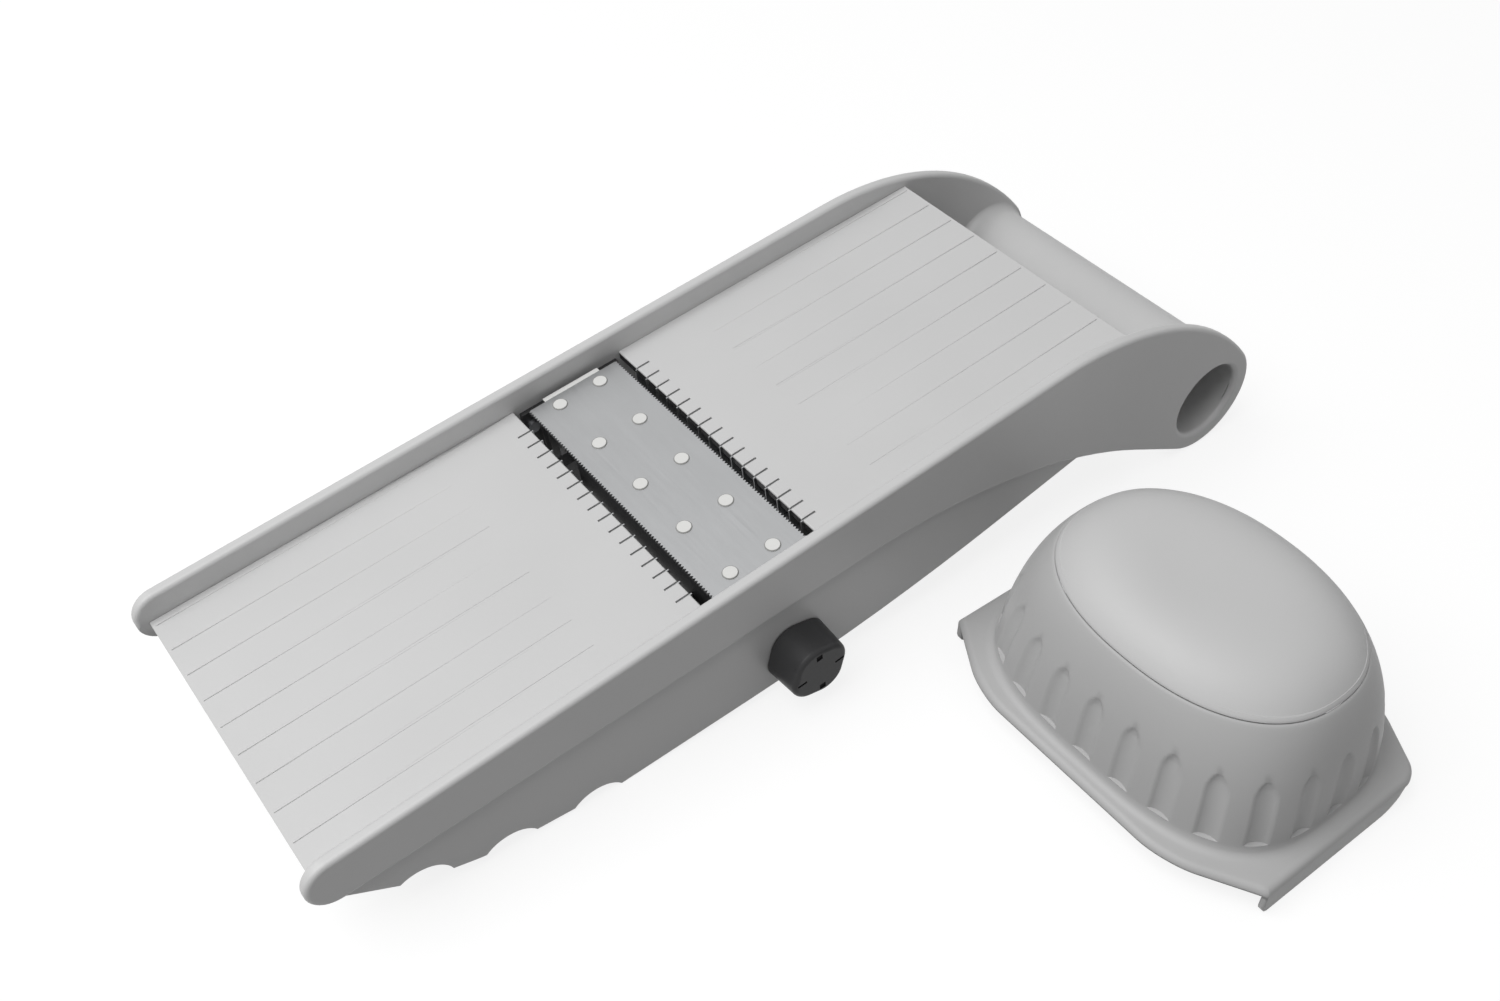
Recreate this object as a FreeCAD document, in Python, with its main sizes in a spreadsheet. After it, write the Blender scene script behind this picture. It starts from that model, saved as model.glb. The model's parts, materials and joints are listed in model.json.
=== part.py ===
import FreeCAD
import Part
import Sketcher
import math
import os

# A mandoline slicer and its hand guard, in millimetres.
# The slicer is drawn in its deck frame: x along the deck from the infeed end to the handle,
# y across it, z square to the deck with 0 on the deck's surface.
# A placement then stands it on the table, which is Z = 0, with the deck rising towards the handle.

Vec = FreeCAD.Vector
doc = FreeCAD.newDocument("mandoline_slicer")
sheet = doc.addObject("Spreadsheet::Sheet", "dims")

driving_sizes = {
    # decks and the opening for the blade
    "deck_length": 302.4,
    "deck_thick": 3.2,
    "inner_width": 112.8,
    "deck_gap": 0.15,
    "blade_x": 152.4,
    "gap_width": 42.7,
    "rib_count": 10,
    "rib_margin": 2.4,
    "rib_width": 0.9,
    "rib_height": 0.55,
    "rib_root": 0.3,
    "rib_length": 98.0,
    "rib_inset": 1.2,
    "slit_count": 16,
    "slit_margin": 11.4,
    "slit_width": 0.8,
    "slit_length": 5.0,
    # side panels
    "panel_thick": 4.4,
    "skirt_recess": 1.8,
    "edge_round": 1.6,
    "rail_height": 9.0,
    "nose_radius": 8.8,
    "nose_reach": 3.8,
    "rail_bend_x": 267.6,
    "lobe_x": 343.5,
    "lobe_drop": 54.0,
    "lobe_radius": 21.5,
    "neck_angle": 35.4,
    "band_bend_x": 185.0,
    "band_drop": 13.6,
    "skirt_front_x": 2.5,
    "skirt_knee1_x": 22.2,
    "skirt_knee1_drop": 24.4,
    "skirt_knee2_x": 45.7,
    "skirt_knee2_drop": 35.1,
    "stand_x": 88.7,
    "stand_drop": 43.6,
    "belly_x": 190.0,
    "belly_drop": 49.0,
    "skirt_back_x": 284.0,
    "skirt_back_drop": 37.5,
    "skirt_cover_x": 250.0,
    "skirt_cover_drop": 20.0,
    "knee_round": 60.0,
    "skirt_front_share": 0.93,
    "belly_round": 600.0,
    "notch_radius": 11.0,
    "notch1_x": 22.7,
    "notch1_drop": 31.6,
    "notch2_x": 49.9,
    "notch2_drop": 42.7,
    "stand_notch_angle": 30.0,
    "ledge_width": 7.0,
    "ledge_thick": 2.4,
    "ledge_gap": 1.0,
    "ledge_end": 8.0,
    # handle
    "tube_radius": 18.5,
    "bore_radius": 14.5,
    "tube_seat": 2.0,
    "bore_round": 2.0,
    "rim_share": 0.85,
    # fasteners and fits
    "seat_clear": 0.05,
    "run_clear": 0.05,
    "screw_radius": 1.4,
    "screw_head_radius": 2.6,
    "screw_head_thick": 1.6,
    "screw_bite": 2.2,
    "screw_inset": 16.0,
    "guide_screw_bite": 2.4,
    # feet
    "foot_radius": 4.0,
    "foot_height": 5.2,
    "foot_round": 1.6,
    "foot_inset_x": 4.6,
    "foot_inset_y": 5.4,
    # blade carriage
    "blade_gap": 3.6,
    "plate_thick": 1.0,
    "tooth_pitch": 1.2,
    "tooth_depth": 0.8,
    "stake_rows": 16.0,
    "stake_count": 5,
    "stake_inset": 4.5,
    "stake_radius": 1.9,
    "stake_head_radius": 2.6,
    "stake_head_thick": 0.35,
    "carrier_width": 22.0,
    "carrier_thick": 5.0,
    "tongue_reach": 2.2,
    "tongue_depth": 13.0,
    "tab_thick": 1.9,
    "tab_rise": 0.8,
    "bed_thick": 2.5,
    "apron_lap": 0.1,
    "apron_thick": 1.5,
    "apron_depth": 11.4,
    "apron_far": 23.0,
    "leg_width": 6.0,
    "leg_thick": 4.0,
    "blade_lift": 3.0,
    # comb carriage
    "comb_room": 0.6,
    "comb_thick": 0.8,
    "comb_width": 11.5,
    "comb_inset": 0.15,
    "comb_end_inset": 2.0,
    "tine_thick": 0.4,
    "tine_nose": 0.75,
    "tine_tip_drop": 0.5,
    "beam_width": 16.0,
    "beam_thick": 3.5,
    "beam_end_gap": 1.2,
    "bridge_inset": 11.0,
    "bridge_thick": 5.0,
    "rivet_radius": 1.2,
    "rivet_head_radius": 2.0,
    "rivet_head_thick": 0.4,
    "rivet_y": 21.0,
    "post_radius": 2.0,
    "post_seat": 2.0,
    "post_length": 18.0,
    "post_inset": 6.0,
    "row_inset": 7.6,
    "comb_lift": 4.5,
    # cam shaft and knob
    "shaft_drop": 34.8,
    "shaft_ahead": 3.8,
    "journal_radius": 4.0,
    "shaft_square": 7.0,
    "shaft_float": 0.2,
    "bush_radius": 6.5,
    "bush_flange_radius": 8.5,
    "bush_flange_thick": 1.5,
    "bush_cap_thick": 1.0,
    "cam_radius": 7.0,
    "cam_width": 5.0,
    "cam_spacing": 12.0,
    "cam_clear": 0.3,
    "turn_range": 270.0,
    "cam_drop_start": 25.0,
    "cam_drop_end": 80.0,
    "washer_radius": 6.6,
    "washer_thick": 0.8,
    "drive_square": 5.2,
    "drive_length": 8.0,
    "knob_width": 20.6,
    "knob_corner": 7.6,
    "knob_taper": 0.5,
    "knob_length": 13.0,
    "knob_gap": 0.3,
    "knob_round": 1.7,
    "knob_twist": 19.0,
    "mark_circle": 7.3,
    "mark_length": 3.4,
    "mark_width": 0.8,
    "mark_square": 2.2,
    "mark_depth": 0.4,
    # lift guides and detent
    "guide_ear": 5.7,
    "guide_plate_thick": 1.8,
    "guide_rail_thick": 2.6,
    "guide_bush_gap": 1.0,
    "guide_high": 2.0,
    "guide_clear": 0.25,
    "tongue_gap": 0.4,
    "guide_screw_drop": 8.0,
    "leaf_thick": 0.5,
    "leaf_width": 3.0,
    "leaf_reach": 5.0,
    "leaf_clear": 0.25,
    "leaf_screw_radius": 0.8,
    "leaf_screw_head": 1.3,
    # hand guard
    "guard_ahead": 246.0,
    "guard_aside": 141.0,
    "guard_clear": 0.6,
    "guard_wall": 2.0,
    "lip_height": 11.0,
    "lip_length": 67.0,
    "lip_round": 1.6,
    "flange_depth": 97.0,
    "flange_straight": 76.0,
    "flange_round": 35.0,
    "dome_depth": 87.0,
    "dome_width": 115.6,
    "dome_height": 65.0,
    "dome_bend": 2.2,
    "dome_flatness": 5.0,
    "dome_square": 3.0,
    "dome_square_top": 2.1,
    "seam_height": 54.0,
    "seam_gap": 0.2,
    "cap_skirt": 2.5,
    "prong_plate_height": 30.0,
    "prong_plate_thick": 2.5,
    "prong_plate_depth": 58.0,
    "prong_plate_width": 84.0,
    "prong_plate_square": 2.4,
    "prong_radius": 0.8,
    "prong_length": 16.0,
    "prong_point": 3.0,
    "prong_pitch": 12.0,
    "boss_radius": 3.4,
    "boss_row": 1.25,
    "boss_column": 2.25,
    "prong_blunt": 0.1,
}

for row, (name, number) in enumerate(driving_sizes.items(), start=1):
    sheet.set("A%d" % row, name)
    sheet.set("B%d" % row, str(number))
    sheet.setAlias("B%d" % row, name)
doc.recompute()


class Size:
    """A number together with the sheet expression that it comes from."""

    def __init__(self, text, value):
        self.text = text
        self.value = value

    def __add__(self, other):
        other = sized(other)
        return Size("(%s + %s)" % (self.text, other.text), self.value + other.value)

    def __sub__(self, other):
        other = sized(other)
        return Size("(%s - %s)" % (self.text, other.text), self.value - other.value)

    def __mul__(self, other):
        other = sized(other)
        return Size("(%s * %s)" % (self.text, other.text), self.value * other.value)

    def __truediv__(self, other):
        other = sized(other)
        return Size("(%s / %s)" % (self.text, other.text), self.value / other.value)

    def __neg__(self):
        return Size("(0 - %s)" % self.text, -self.value)

    def __radd__(self, other):
        return sized(other) + self

    def __rsub__(self, other):
        return sized(other) - self

    def __rmul__(self, other):
        return sized(other) * self


def sized(number):
    return number if isinstance(number, Size) else Size(repr(number), number)


def sine(angle):
    return Size("sin(%s)" % angle.text, math.sin(math.radians(angle.value)))


def cosine(angle):
    return Size("cos(%s)" % angle.text, math.cos(math.radians(angle.value)))


class Dims:
    pass


d = Dims()
for name in driving_sizes:
    setattr(d, name, Size("dims." + name, float(sheet.get(name))))

zero = sized(0.0)

# Sizes worked out from the driving ones
d.half = d.inner_width / 2
d.outer = d.half + d.panel_thick
d.skirt_face = d.outer - d.skirt_recess
d.shaft_x = d.blade_x + d.shaft_ahead
d.gap_start = d.blade_x - d.gap_width / 2
d.gap_end = d.blade_x + d.gap_width / 2
d.guard_half = d.outer + d.guard_clear + d.guard_wall
d.rib_pitch = (d.inner_width - d.rib_margin * 2) / (d.rib_count - 1)
d.slit_pitch = (d.inner_width - d.slit_margin * 2) / (d.slit_count - 1)
d.ledge_start = d.foot_inset_x + d.foot_radius + d.ledge_gap
d.guide_face = d.half - d.guide_plate_thick
d.tongue_end = d.guide_face - d.tongue_gap
d.rail_in = d.tongue_end - d.leg_thick
d.slot_half = d.carrier_width / 2 + d.guide_clear
d.guide_half = d.slot_half + d.guide_rail_thick + d.guide_ear
d.guide_screw_x = d.guide_half - d.guide_ear / 2
d.guide_low = d.shaft_drop - d.bush_flange_radius - d.guide_bush_gap
d.plate_width = d.gap_width - d.blade_gap * 2
d.plate_length = (d.tongue_end - d.tongue_reach) * 2
d.stake_pitch = (d.plate_length - d.stake_inset * 2) / (d.stake_count - 1)
d.comb_drop = d.deck_thick + d.comb_lift + d.comb_thick + d.rivet_head_thick + d.comb_room
d.beam_low = d.comb_drop + d.beam_thick
d.beam_end = d.rail_in - d.beam_end_gap
d.comb_end = d.beam_end - d.comb_end_inset
d.post_y = d.beam_end - d.post_inset
d.bridge_y = d.beam_end - d.bridge_inset
d.blade_cam_y = d.bridge_y - d.cam_spacing
d.row_x = d.gap_width / 2 + d.row_inset
d.cam_top = d.shaft_drop - d.cam_radius
d.pad_drop = d.cam_top - d.cam_clear
d.knob_back = d.skirt_face + d.knob_gap
d.knob_face = d.knob_back + d.knob_length
d.leaf_low = d.shaft_square * math.sqrt(0.5) + d.leaf_clear - d.shaft_drop
d.leaf_high = d.leaf_low + d.leaf_thick
d.washer_end = d.half - d.bush_flange_thick - d.shaft_float
d.shoulder = d.washer_end - d.washer_thick - d.seat_clear

# The slicer stands on the end of its third bowl notch and on its two handle lobes
stand_run = d.lobe_x - d.stand_x
stand_fall = d.lobe_drop - d.stand_drop
tilt = Size(
    "(asin(%s / hypot(%s; %s)) + atan2(%s; %s))"
    % (d.lobe_radius.text, stand_run.text, stand_fall.text, stand_fall.text, stand_run.text),
    math.degrees(
        math.asin(d.lobe_radius.value / math.hypot(stand_run.value, stand_fall.value))
        + math.atan2(stand_fall.value, stand_run.value)
    ),
)
nose_x = d.nose_radius - d.nose_reach
nose_z = d.rail_height - d.nose_radius
table = d.stand_x * sine(tilt) - d.stand_drop * cosine(tilt)
back_end = nose_x * cosine(tilt) - nose_z * sine(tilt) - d.nose_radius
handle_end = d.lobe_x * cosine(tilt) + d.lobe_drop * sine(tilt) + d.lobe_radius
origin_x = (back_end + handle_end) / 2
origin_y = (d.outer - d.guard_aside - d.guard_half) / 2

parts = []


def vector_text(x, y, z):
    return "vector(%s; %s; %s)" % (sized(x).text, sized(y).text, sized(z).text)


def stand(obj, label):
    """Name a slicer piece and set it in the standing pose."""
    obj.Label = label
    place = "placement(%s; rotation(vector(0; -1; 0); %s))"
    obj.setExpression("Placement", place % (vector_text(-origin_x, -origin_y, -table), tilt.text))
    parts.append(obj)
    return obj


def lay_guard(obj, label):
    """Name a guard piece and set it on the table beside the slicer."""
    obj.Label = label
    place = "placement(%s; rotation(vector(0; 0; 1); 0))"
    spot = vector_text(d.guard_ahead - origin_x, -d.guard_aside - origin_y, 0)
    obj.setExpression("Placement", place % spot)
    parts.append(obj)
    return obj


def box(x, y, z, name="block"):
    obj = doc.addObject("Part::Box", name)
    for side, (low, high) in zip(("Length", "Width", "Height"), (x, y, z)):
        obj.setExpression(side, (sized(high) - low).text)
    corner = vector_text(x[0], y[0], z[0])
    obj.setExpression("Placement", "placement(%s; rotation(vector(0; 0; 1); 0))" % corner)
    return obj


turns = {"x": "vector(0; 1; 0); 90", "y": "vector(1; 0; 0); -90", "z": "vector(0; 0; 1); 0"}


def rod(radius, length, start, axis="z", name="rod"):
    """A cylinder that runs from its start along one axis."""
    obj = doc.addObject("Part::Cylinder", name)
    obj.setExpression("Radius", sized(radius).text)
    obj.setExpression("Height", sized(length).text)
    place = "placement(%s; rotation(%s))" % (vector_text(*start), turns[axis])
    obj.setExpression("Placement", place)
    return obj


def point(radius, length, start, name="point"):
    """A cone, nearly sharp, that points down from its start."""
    obj = doc.addObject("Part::Cone", name)
    obj.setExpression("Radius1", (sized(radius) * d.prong_blunt).text)
    obj.setExpression("Radius2", sized(radius).text)
    obj.setExpression("Height", sized(length).text)
    low = vector_text(start[0], start[1], start[2] - length)
    obj.setExpression("Placement", "placement(%s; rotation(vector(0; 0; 1); 0))" % low)
    return obj


def fuse(*pieces, name="joined"):
    obj = doc.addObject("Part::MultiFuse", name)
    obj.Shapes = list(pieces)
    obj.Refine = True
    return obj


def cut(base, *tools, name="cut"):
    obj = doc.addObject("Part::Cut", name)
    obj.Base = base
    obj.Tool = tools[0] if len(tools) == 1 else fuse(*tools, name="tools")
    obj.Refine = True
    return obj


def group(pieces, name):
    obj = doc.addObject("Part::Compound", name)
    obj.Links = list(pieces)
    return obj


def formed(shape, name):
    obj = doc.addObject("Part::Feature", name)
    obj.Shape = shape
    return obj


def plane_of(body, role):
    return next(item for item in body.Origin.OriginFeatures if item.Role == role)


def sketch_on(body, role, name, offset=zero):
    sketch = body.newObject("Sketcher::SketchObject", name)
    sketch.AttachmentSupport = (plane_of(body, role), [""])
    sketch.MapMode = "FlatFace"
    lift = "placement(%s; rotation(vector(0; 0; 1); 0))" % vector_text(0, 0, offset)
    sketch.setExpression("AttachmentOffset", lift)
    return sketch


def pin_point(sketch, edge, end, x, y):
    """Tie one point of a sketch to sheet sizes, measured from the sketch's origin."""
    for kind, size in (("DistanceX", x), ("DistanceY", y)):
        size = sized(size)
        row = sketch.addConstraint(Sketcher.Constraint(kind, -1, 1, edge, end, size.value))
        sketch.setExpression("Constraints[%d]" % row, size.text)


def draw_polygon(sketch, corners):
    spots = [Vec(sized(x).value, sized(y).value, 0) for x, y in corners]
    count = len(spots)
    first = sketch.GeometryCount
    for here in range(count):
        sketch.addGeometry(Part.LineSegment(spots[here], spots[(here + 1) % count]), False)
    for here in range(count):
        after = first + (here + 1) % count
        sketch.addConstraint(Sketcher.Constraint("Coincident", first + here, 2, after, 1))
    for here, (x, y) in enumerate(corners):
        pin_point(sketch, first + here, 1, x, y)


def draw_circle(sketch, x, y, radius):
    spot = Vec(sized(x).value, sized(y).value, 0)
    edge = sketch.addGeometry(Part.Circle(spot, Vec(0, 0, 1), sized(radius).value), False)
    row = sketch.addConstraint(Sketcher.Constraint("Radius", edge, sized(radius).value))
    sketch.setExpression("Constraints[%d]" % row, sized(radius).text)
    pin_point(sketch, edge, 3, x, y)


def pad(body, sketch, length, reverse=False, middle=False):
    feature = body.newObject("PartDesign::Pad", "Pad")
    feature.Profile = sketch
    feature.setExpression("Length", sized(length).text)
    feature.Reversed = reverse
    feature.Midplane = middle
    doc.recompute()
    return feature


def pocket(body, sketch, depth, reverse=False, middle=False):
    before = body.Tip.Shape.Volume
    feature = body.newObject("PartDesign::Pocket", "Pocket")
    feature.Profile = sketch
    feature.setExpression("Length", sized(depth).text)
    feature.Reversed = reverse
    feature.Midplane = middle
    doc.recompute()
    if not feature.Shape.Volume < before:
        raise RuntimeError("a pocket of %s removed nothing" % body.Name)
    return feature


def row_of(body, feature, axis_role, step, count):
    """Repeat one feature along an axis of its body."""
    pattern = body.newObject("PartDesign::LinearPattern", "Row")
    pattern.Originals = [feature]
    pattern.Direction = (plane_of(body, axis_role), [""])
    pattern.setExpression("Length", (step * (count - 1)).text)
    pattern.setExpression("Occurrences", count.text)
    body.Tip = pattern
    doc.recompute()
    return pattern


def arc(centre, radius, start, end):
    """An arc in the x-z plane between two angles in degrees."""
    spots = []
    for angle in (start, (start + end) / 2, end):
        turn = math.radians(angle)
        spots.append(Vec(centre[0] + radius * math.cos(turn), 0, centre[1] + radius * math.sin(turn)))
    return Part.Arc(*spots).toShape()


def rounded_wire(corners, flat=lambda a, b: Vec(a, 0, b)):
    """A closed outline of straight runs whose corners (a, b, radius) are rounded by tangent arcs."""
    edges = []
    ends = []
    count = len(corners)
    for here, (a, b, radius) in enumerate(corners):
        back = corners[here - 1]
        ahead = corners[(here + 1) % count]
        corner = Vec(a, b, 0)
        to_back = (Vec(back[0], back[1], 0) - corner).normalize()
        to_ahead = (Vec(ahead[0], ahead[1], 0) - corner).normalize()
        half_angle = to_back.getAngle(to_ahead) / 2
        reach = radius / math.tan(half_angle)
        start = corner + to_back * reach
        end = corner + to_ahead * reach
        middle_way = (to_back + to_ahead).normalize()
        middle = corner + middle_way * (radius / math.sin(half_angle) - radius)
        ends.append((start, middle, end, radius))
    for here, (start, middle, end, radius) in enumerate(ends):
        if radius > 0:
            three = [flat(spot.x, spot.y) for spot in (start, middle, end)]
            edges.append(Part.Arc(*three).toShape())
        after = ends[(here + 1) % count][0]
        if (after - end).Length > 1e-4:
            edges.append(Part.LineSegment(flat(end.x, end.y), flat(after.x, after.y)).toShape())
    return Part.Wire(Part.__sortEdges__(edges))


def raised(wire, way):
    return Part.Face(wire).extrude(way)


def edges_on(shape, test):
    return [edge for edge in shape.Edges if all(test(vertex.Point) for vertex in edge.Vertexes)]


# Side panels: rail, band, recessed skirt with bowl notches, and the round handle lobe


def band_wire():
    lobe = (d.lobe_x.value, -d.lobe_drop.value)
    lobe_radius = d.lobe_radius.value
    rail = d.rail_height.value
    bend = d.rail_bend_x.value
    reach = lobe[0] - bend
    fall = rail - lobe[1]
    sweep = (reach**2 + fall**2 - lobe_radius**2) / (2 * (fall - lobe_radius))
    top_centre = (bend, rail - sweep)
    meet = math.degrees(math.atan2(lobe[1] - top_centre[1], reach))
    neck = d.neck_angle.value
    slope = math.tan(math.radians(neck))
    nose = (nose_x.value, nose_z.value)
    nose_low = nose[1] - d.nose_radius.value
    touch = arc(lobe, lobe_radius, meet, -90 - neck).Vertexes[1].Point
    bend_low = Vec(d.band_bend_x.value, 0, -d.band_drop.value)
    band_slope = (bend_low.z - nose_low) / (bend_low.x - nose[0])
    corner_x = (touch.z + touch.x * slope - bend_low.z + bend_low.x * band_slope) / (slope + band_slope)
    corner = Vec(corner_x, 0, bend_low.z + (corner_x - bend_low.x) * band_slope)
    span = (corner - bend_low).Length
    down = (touch - corner).normalize()
    along = (bend_low - corner).normalize()
    neck_top = corner + down * span
    half_angle = down.getAngle(along) / 2
    middle_way = (down + along).normalize()
    middle = corner + middle_way * span * (1 / math.cos(half_angle) - math.tan(half_angle))
    nose_bottom = Vec(nose[0], 0, nose_low)
    edges = [
        Part.LineSegment(Vec(nose[0], 0, rail), Vec(bend, 0, rail)).toShape(),
        arc(top_centre, sweep, 90, meet),
        arc(lobe, lobe_radius, meet, -90 - neck),
        Part.LineSegment(touch, neck_top).toShape(),
        Part.Arc(neck_top, middle, bend_low).toShape(),
        Part.LineSegment(bend_low, nose_bottom).toShape(),
        arc(nose, d.nose_radius.value, 270, 90),
    ]
    return Part.Wire(Part.__sortEdges__(edges))


def skirt_wire():
    knee = d.knee_round.value
    bend_z = -d.band_drop.value
    corners = [
        (d.skirt_front_x.value, nose_z.value - d.nose_radius.value * d.skirt_front_share.value, 0),
        (d.skirt_knee1_x.value, -d.skirt_knee1_drop.value, knee / 3),
        (d.skirt_knee2_x.value, -d.skirt_knee2_drop.value, knee),
        (d.stand_x.value, -d.stand_drop.value, 0),
        (d.belly_x.value, -d.belly_drop.value, d.belly_round.value),
        (d.skirt_back_x.value, -d.skirt_back_drop.value, 0),
        (d.skirt_cover_x.value, -d.skirt_cover_drop.value, 0),
        (d.band_bend_x.value, bend_z + d.panel_thick.value, 0),
        (nose_x.value + d.nose_radius.value, nose_z.value, 0),
    ]
    return rounded_wire(corners)


def notch_centres():
    turn = math.radians(d.stand_notch_angle.value)
    radius = d.notch_radius.value
    return [
        (d.notch1_x.value, -d.notch1_drop.value),
        (d.notch2_x.value, -d.notch2_drop.value),
        (d.stand_x.value - radius * math.cos(turn), -d.stand_drop.value - radius * math.sin(turn)),
    ]


def round_tool(radius, x, z, y_low, y_high):
    return Part.makeCylinder(radius, y_high - y_low, Vec(x, y_low, z), Vec(0, 1, 0))


def ledge_spans():
    return [(low.value, high.value) for low, high in ledge_sizes()]


def deck_screw_spots():
    inset = d.screw_inset.value
    return [x for low, high in ledge_spans() for x in (low + inset, high - inset)]


def side_panel():
    """The far panel; the near one is its mirror image."""
    inner = d.half.value
    outer = d.outer.value
    ring = d.edge_round.value
    band = raised(band_wire(), Vec(0, d.panel_thick.value, 0))
    band.translate(Vec(0, inner, 0))
    faces = (inner, outer)
    rims = edges_on(band, lambda spot: min(abs(spot.y - face) for face in faces) < 1e-6)
    rims = [edge for edge in rims if abs(edge.Vertexes[0].Y - edge.Vertexes[-1].Y) < 1e-6]
    outer_rims = [edge for edge in rims if edge.Vertexes[0].Y > inner + ring]
    band = band.makeFillet(ring, outer_rims)
    skirt = raised(skirt_wire(), Vec(0, d.panel_thick.value - d.skirt_recess.value, 0))
    skirt.translate(Vec(0, inner, 0))
    panel = band.fuse(skirt).removeSplitter()
    for x, z in notch_centres():
        panel = panel.cut(round_tool(d.notch_radius.value, x, z, inner - 1, outer + 1))
    deck_low = -d.deck_thick.value
    for low, high in ledge_spans():
        size = (high - low, d.ledge_width.value, d.ledge_thick.value)
        corner = Vec(low, inner - d.ledge_width.value, deck_low - d.ledge_thick.value)
        panel = panel.fuse(Part.makeBox(*size, corner))
    screw_hole = d.screw_radius.value + d.seat_clear.value
    screw_y = inner - d.ledge_width.value / 2
    for x in deck_screw_spots():
        depth = d.ledge_thick.value + 2
        hole = Part.makeCylinder(screw_hole, depth, Vec(x, screw_y, deck_low - d.ledge_thick.value - 1))
        panel = panel.cut(hole)
    lobe = (d.lobe_x.value, -d.lobe_drop.value)
    panel = panel.cut(round_tool(d.bore_radius.value, *lobe, inner - 1, outer + 1))
    seat = d.tube_radius.value + d.seat_clear.value
    panel = panel.cut(round_tool(seat, *lobe, inner - 1, inner + d.tube_seat.value))
    rim = edges_on(panel, lambda spot: abs(spot.y - outer) < 1e-6)
    bore = d.bore_radius.value
    rim = [e for e in rim if abs(e.Length - 2 * math.pi * bore) < 1e-3]
    rim_wall = d.panel_thick.value - d.tube_seat.value
    panel = panel.makeFillet(min(d.bore_round.value, d.rim_share.value * rim_wall), rim)
    bush = d.bush_radius.value + d.seat_clear.value
    panel = panel.cut(round_tool(bush, d.shaft_x.value, -d.shaft_drop.value, inner - 1, outer + 1))
    for side in (-1, 1):
        x = d.blade_x.value + side * d.guide_screw_x.value
        end = inner + d.guide_screw_bite.value + d.seat_clear.value
        panel = panel.cut(round_tool(screw_hole, x, -d.guide_screw_drop.value, inner - 1, end))
    return panel.removeSplitter()


def make_side_panels():
    far = side_panel()
    near = far.mirror(Vec(0, 0, 0), Vec(0, 1, 0))
    stand(formed(far, "far_panel"), "far_side_panel")
    stand(formed(near, "near_panel"), "near_side_panel")


# Decks: a flat plate with drag ribs that run out towards the blade, and slits for the tines


def make_deck(label, low, high, outer_end, inner_end, inward):
    body = doc.addObject("PartDesign::Body", label + "_body")
    edge = d.half - d.deck_gap
    plate = sketch_on(body, "XY_Plane", "Plate")
    draw_polygon(plate, [(low, -edge), (high, -edge), (high, edge), (low, edge)])
    pad(body, plate, d.deck_thick, reverse=True)
    slit_row = d.slit_pitch * (d.slit_count - 1) / 2
    inner_cut = inner_end - d.slit_length * inward
    past = inner_end + inward
    slit = sketch_on(body, "XY_Plane", "Slit")
    low_y = -slit_row - d.slit_width / 2
    high_y = -slit_row + d.slit_width / 2
    first = inner_cut if inward > 0 else past
    last = past if inward > 0 else inner_cut
    draw_polygon(slit, [(first, low_y), (last, low_y), (last, high_y), (first, high_y)])
    one_slit = pocket(body, slit, d.deck_thick * 2 + 2, middle=True)
    row_of(body, one_slit, "Y_Axis", d.slit_pitch, d.slit_count)
    rib_row = d.rib_pitch * (d.rib_count - 1) / 2
    start = outer_end + d.rib_inset * inward
    tip = outer_end + (d.rib_inset + d.rib_length) * inward
    root = -d.rib_root
    rib = sketch_on(body, "XZ_Plane", "Rib", rib_row - d.rib_width / 2)
    corners = [(start, root), (tip, root), (tip, zero), (start, d.rib_height)]
    if inward < 0:
        corners.reverse()
    draw_polygon(rib, corners)
    one_rib = pad(body, rib, d.rib_width)
    row_of(body, one_rib, "Y_Axis", d.rib_pitch, d.rib_count)
    holes = sketch_on(body, "XY_Plane", "ScrewHoles", -d.deck_thick)
    screw_y = d.half - d.ledge_width / 2
    spots = ledge_sizes()[0 if inward > 0 else 1]
    for x in (spots[0] + d.screw_inset, spots[1] - d.screw_inset):
        for y in (-screw_y, screw_y):
            draw_circle(holes, x, y, d.screw_radius + d.seat_clear)
    pocket(body, holes, d.screw_bite + d.seat_clear, reverse=True)
    posts = sketch_on(body, "XY_Plane", "PostHoles", -d.deck_thick)
    post_x = d.blade_x - d.row_x * inward
    for y in (-d.post_y, d.post_y):
        draw_circle(posts, post_x, y, d.post_radius + d.seat_clear)
    pocket(body, posts, d.post_seat + d.seat_clear, reverse=True)
    stand(body, label)


def ledge_sizes():
    return [
        (d.ledge_start, d.gap_start - d.beam_width),
        (d.gap_end + d.beam_width, d.deck_length - d.ledge_end),
    ]


def make_decks():
    make_deck("infeed_deck", zero, d.gap_start, zero, d.gap_start, 1)
    make_deck("outfeed_deck", d.gap_end, d.deck_length, d.deck_length, d.gap_end, -1)


def make_deck_screws():
    screws = []
    head_low = -d.deck_thick - d.ledge_thick - d.screw_head_thick
    shank = d.ledge_thick + d.screw_bite + d.screw_head_thick
    screw_y = d.half - d.ledge_width / 2
    for low, high in ledge_sizes():
        for x in (low + d.screw_inset, high - d.screw_inset):
            for y in (-screw_y, screw_y):
                head = rod(d.screw_head_radius, d.screw_head_thick, (x, y, head_low))
                screws.append(fuse(head, rod(d.screw_radius, shank, (x, y, head_low)), name="screw"))
    stand(group(screws, "deck_screw_set"), "deck_screws")


def make_handle():
    end = d.half + d.tube_seat
    start = (d.lobe_x, -end, -d.lobe_drop)
    outside = rod(d.tube_radius, end * 2, start, "y", "tube_outside")
    past = (d.lobe_x, -end - 1, -d.lobe_drop)
    inside = rod(d.bore_radius, end * 2 + 2, past, "y", "tube_inside")
    stand(cut(outside, inside, name="tube"), "handle_tube")


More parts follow.
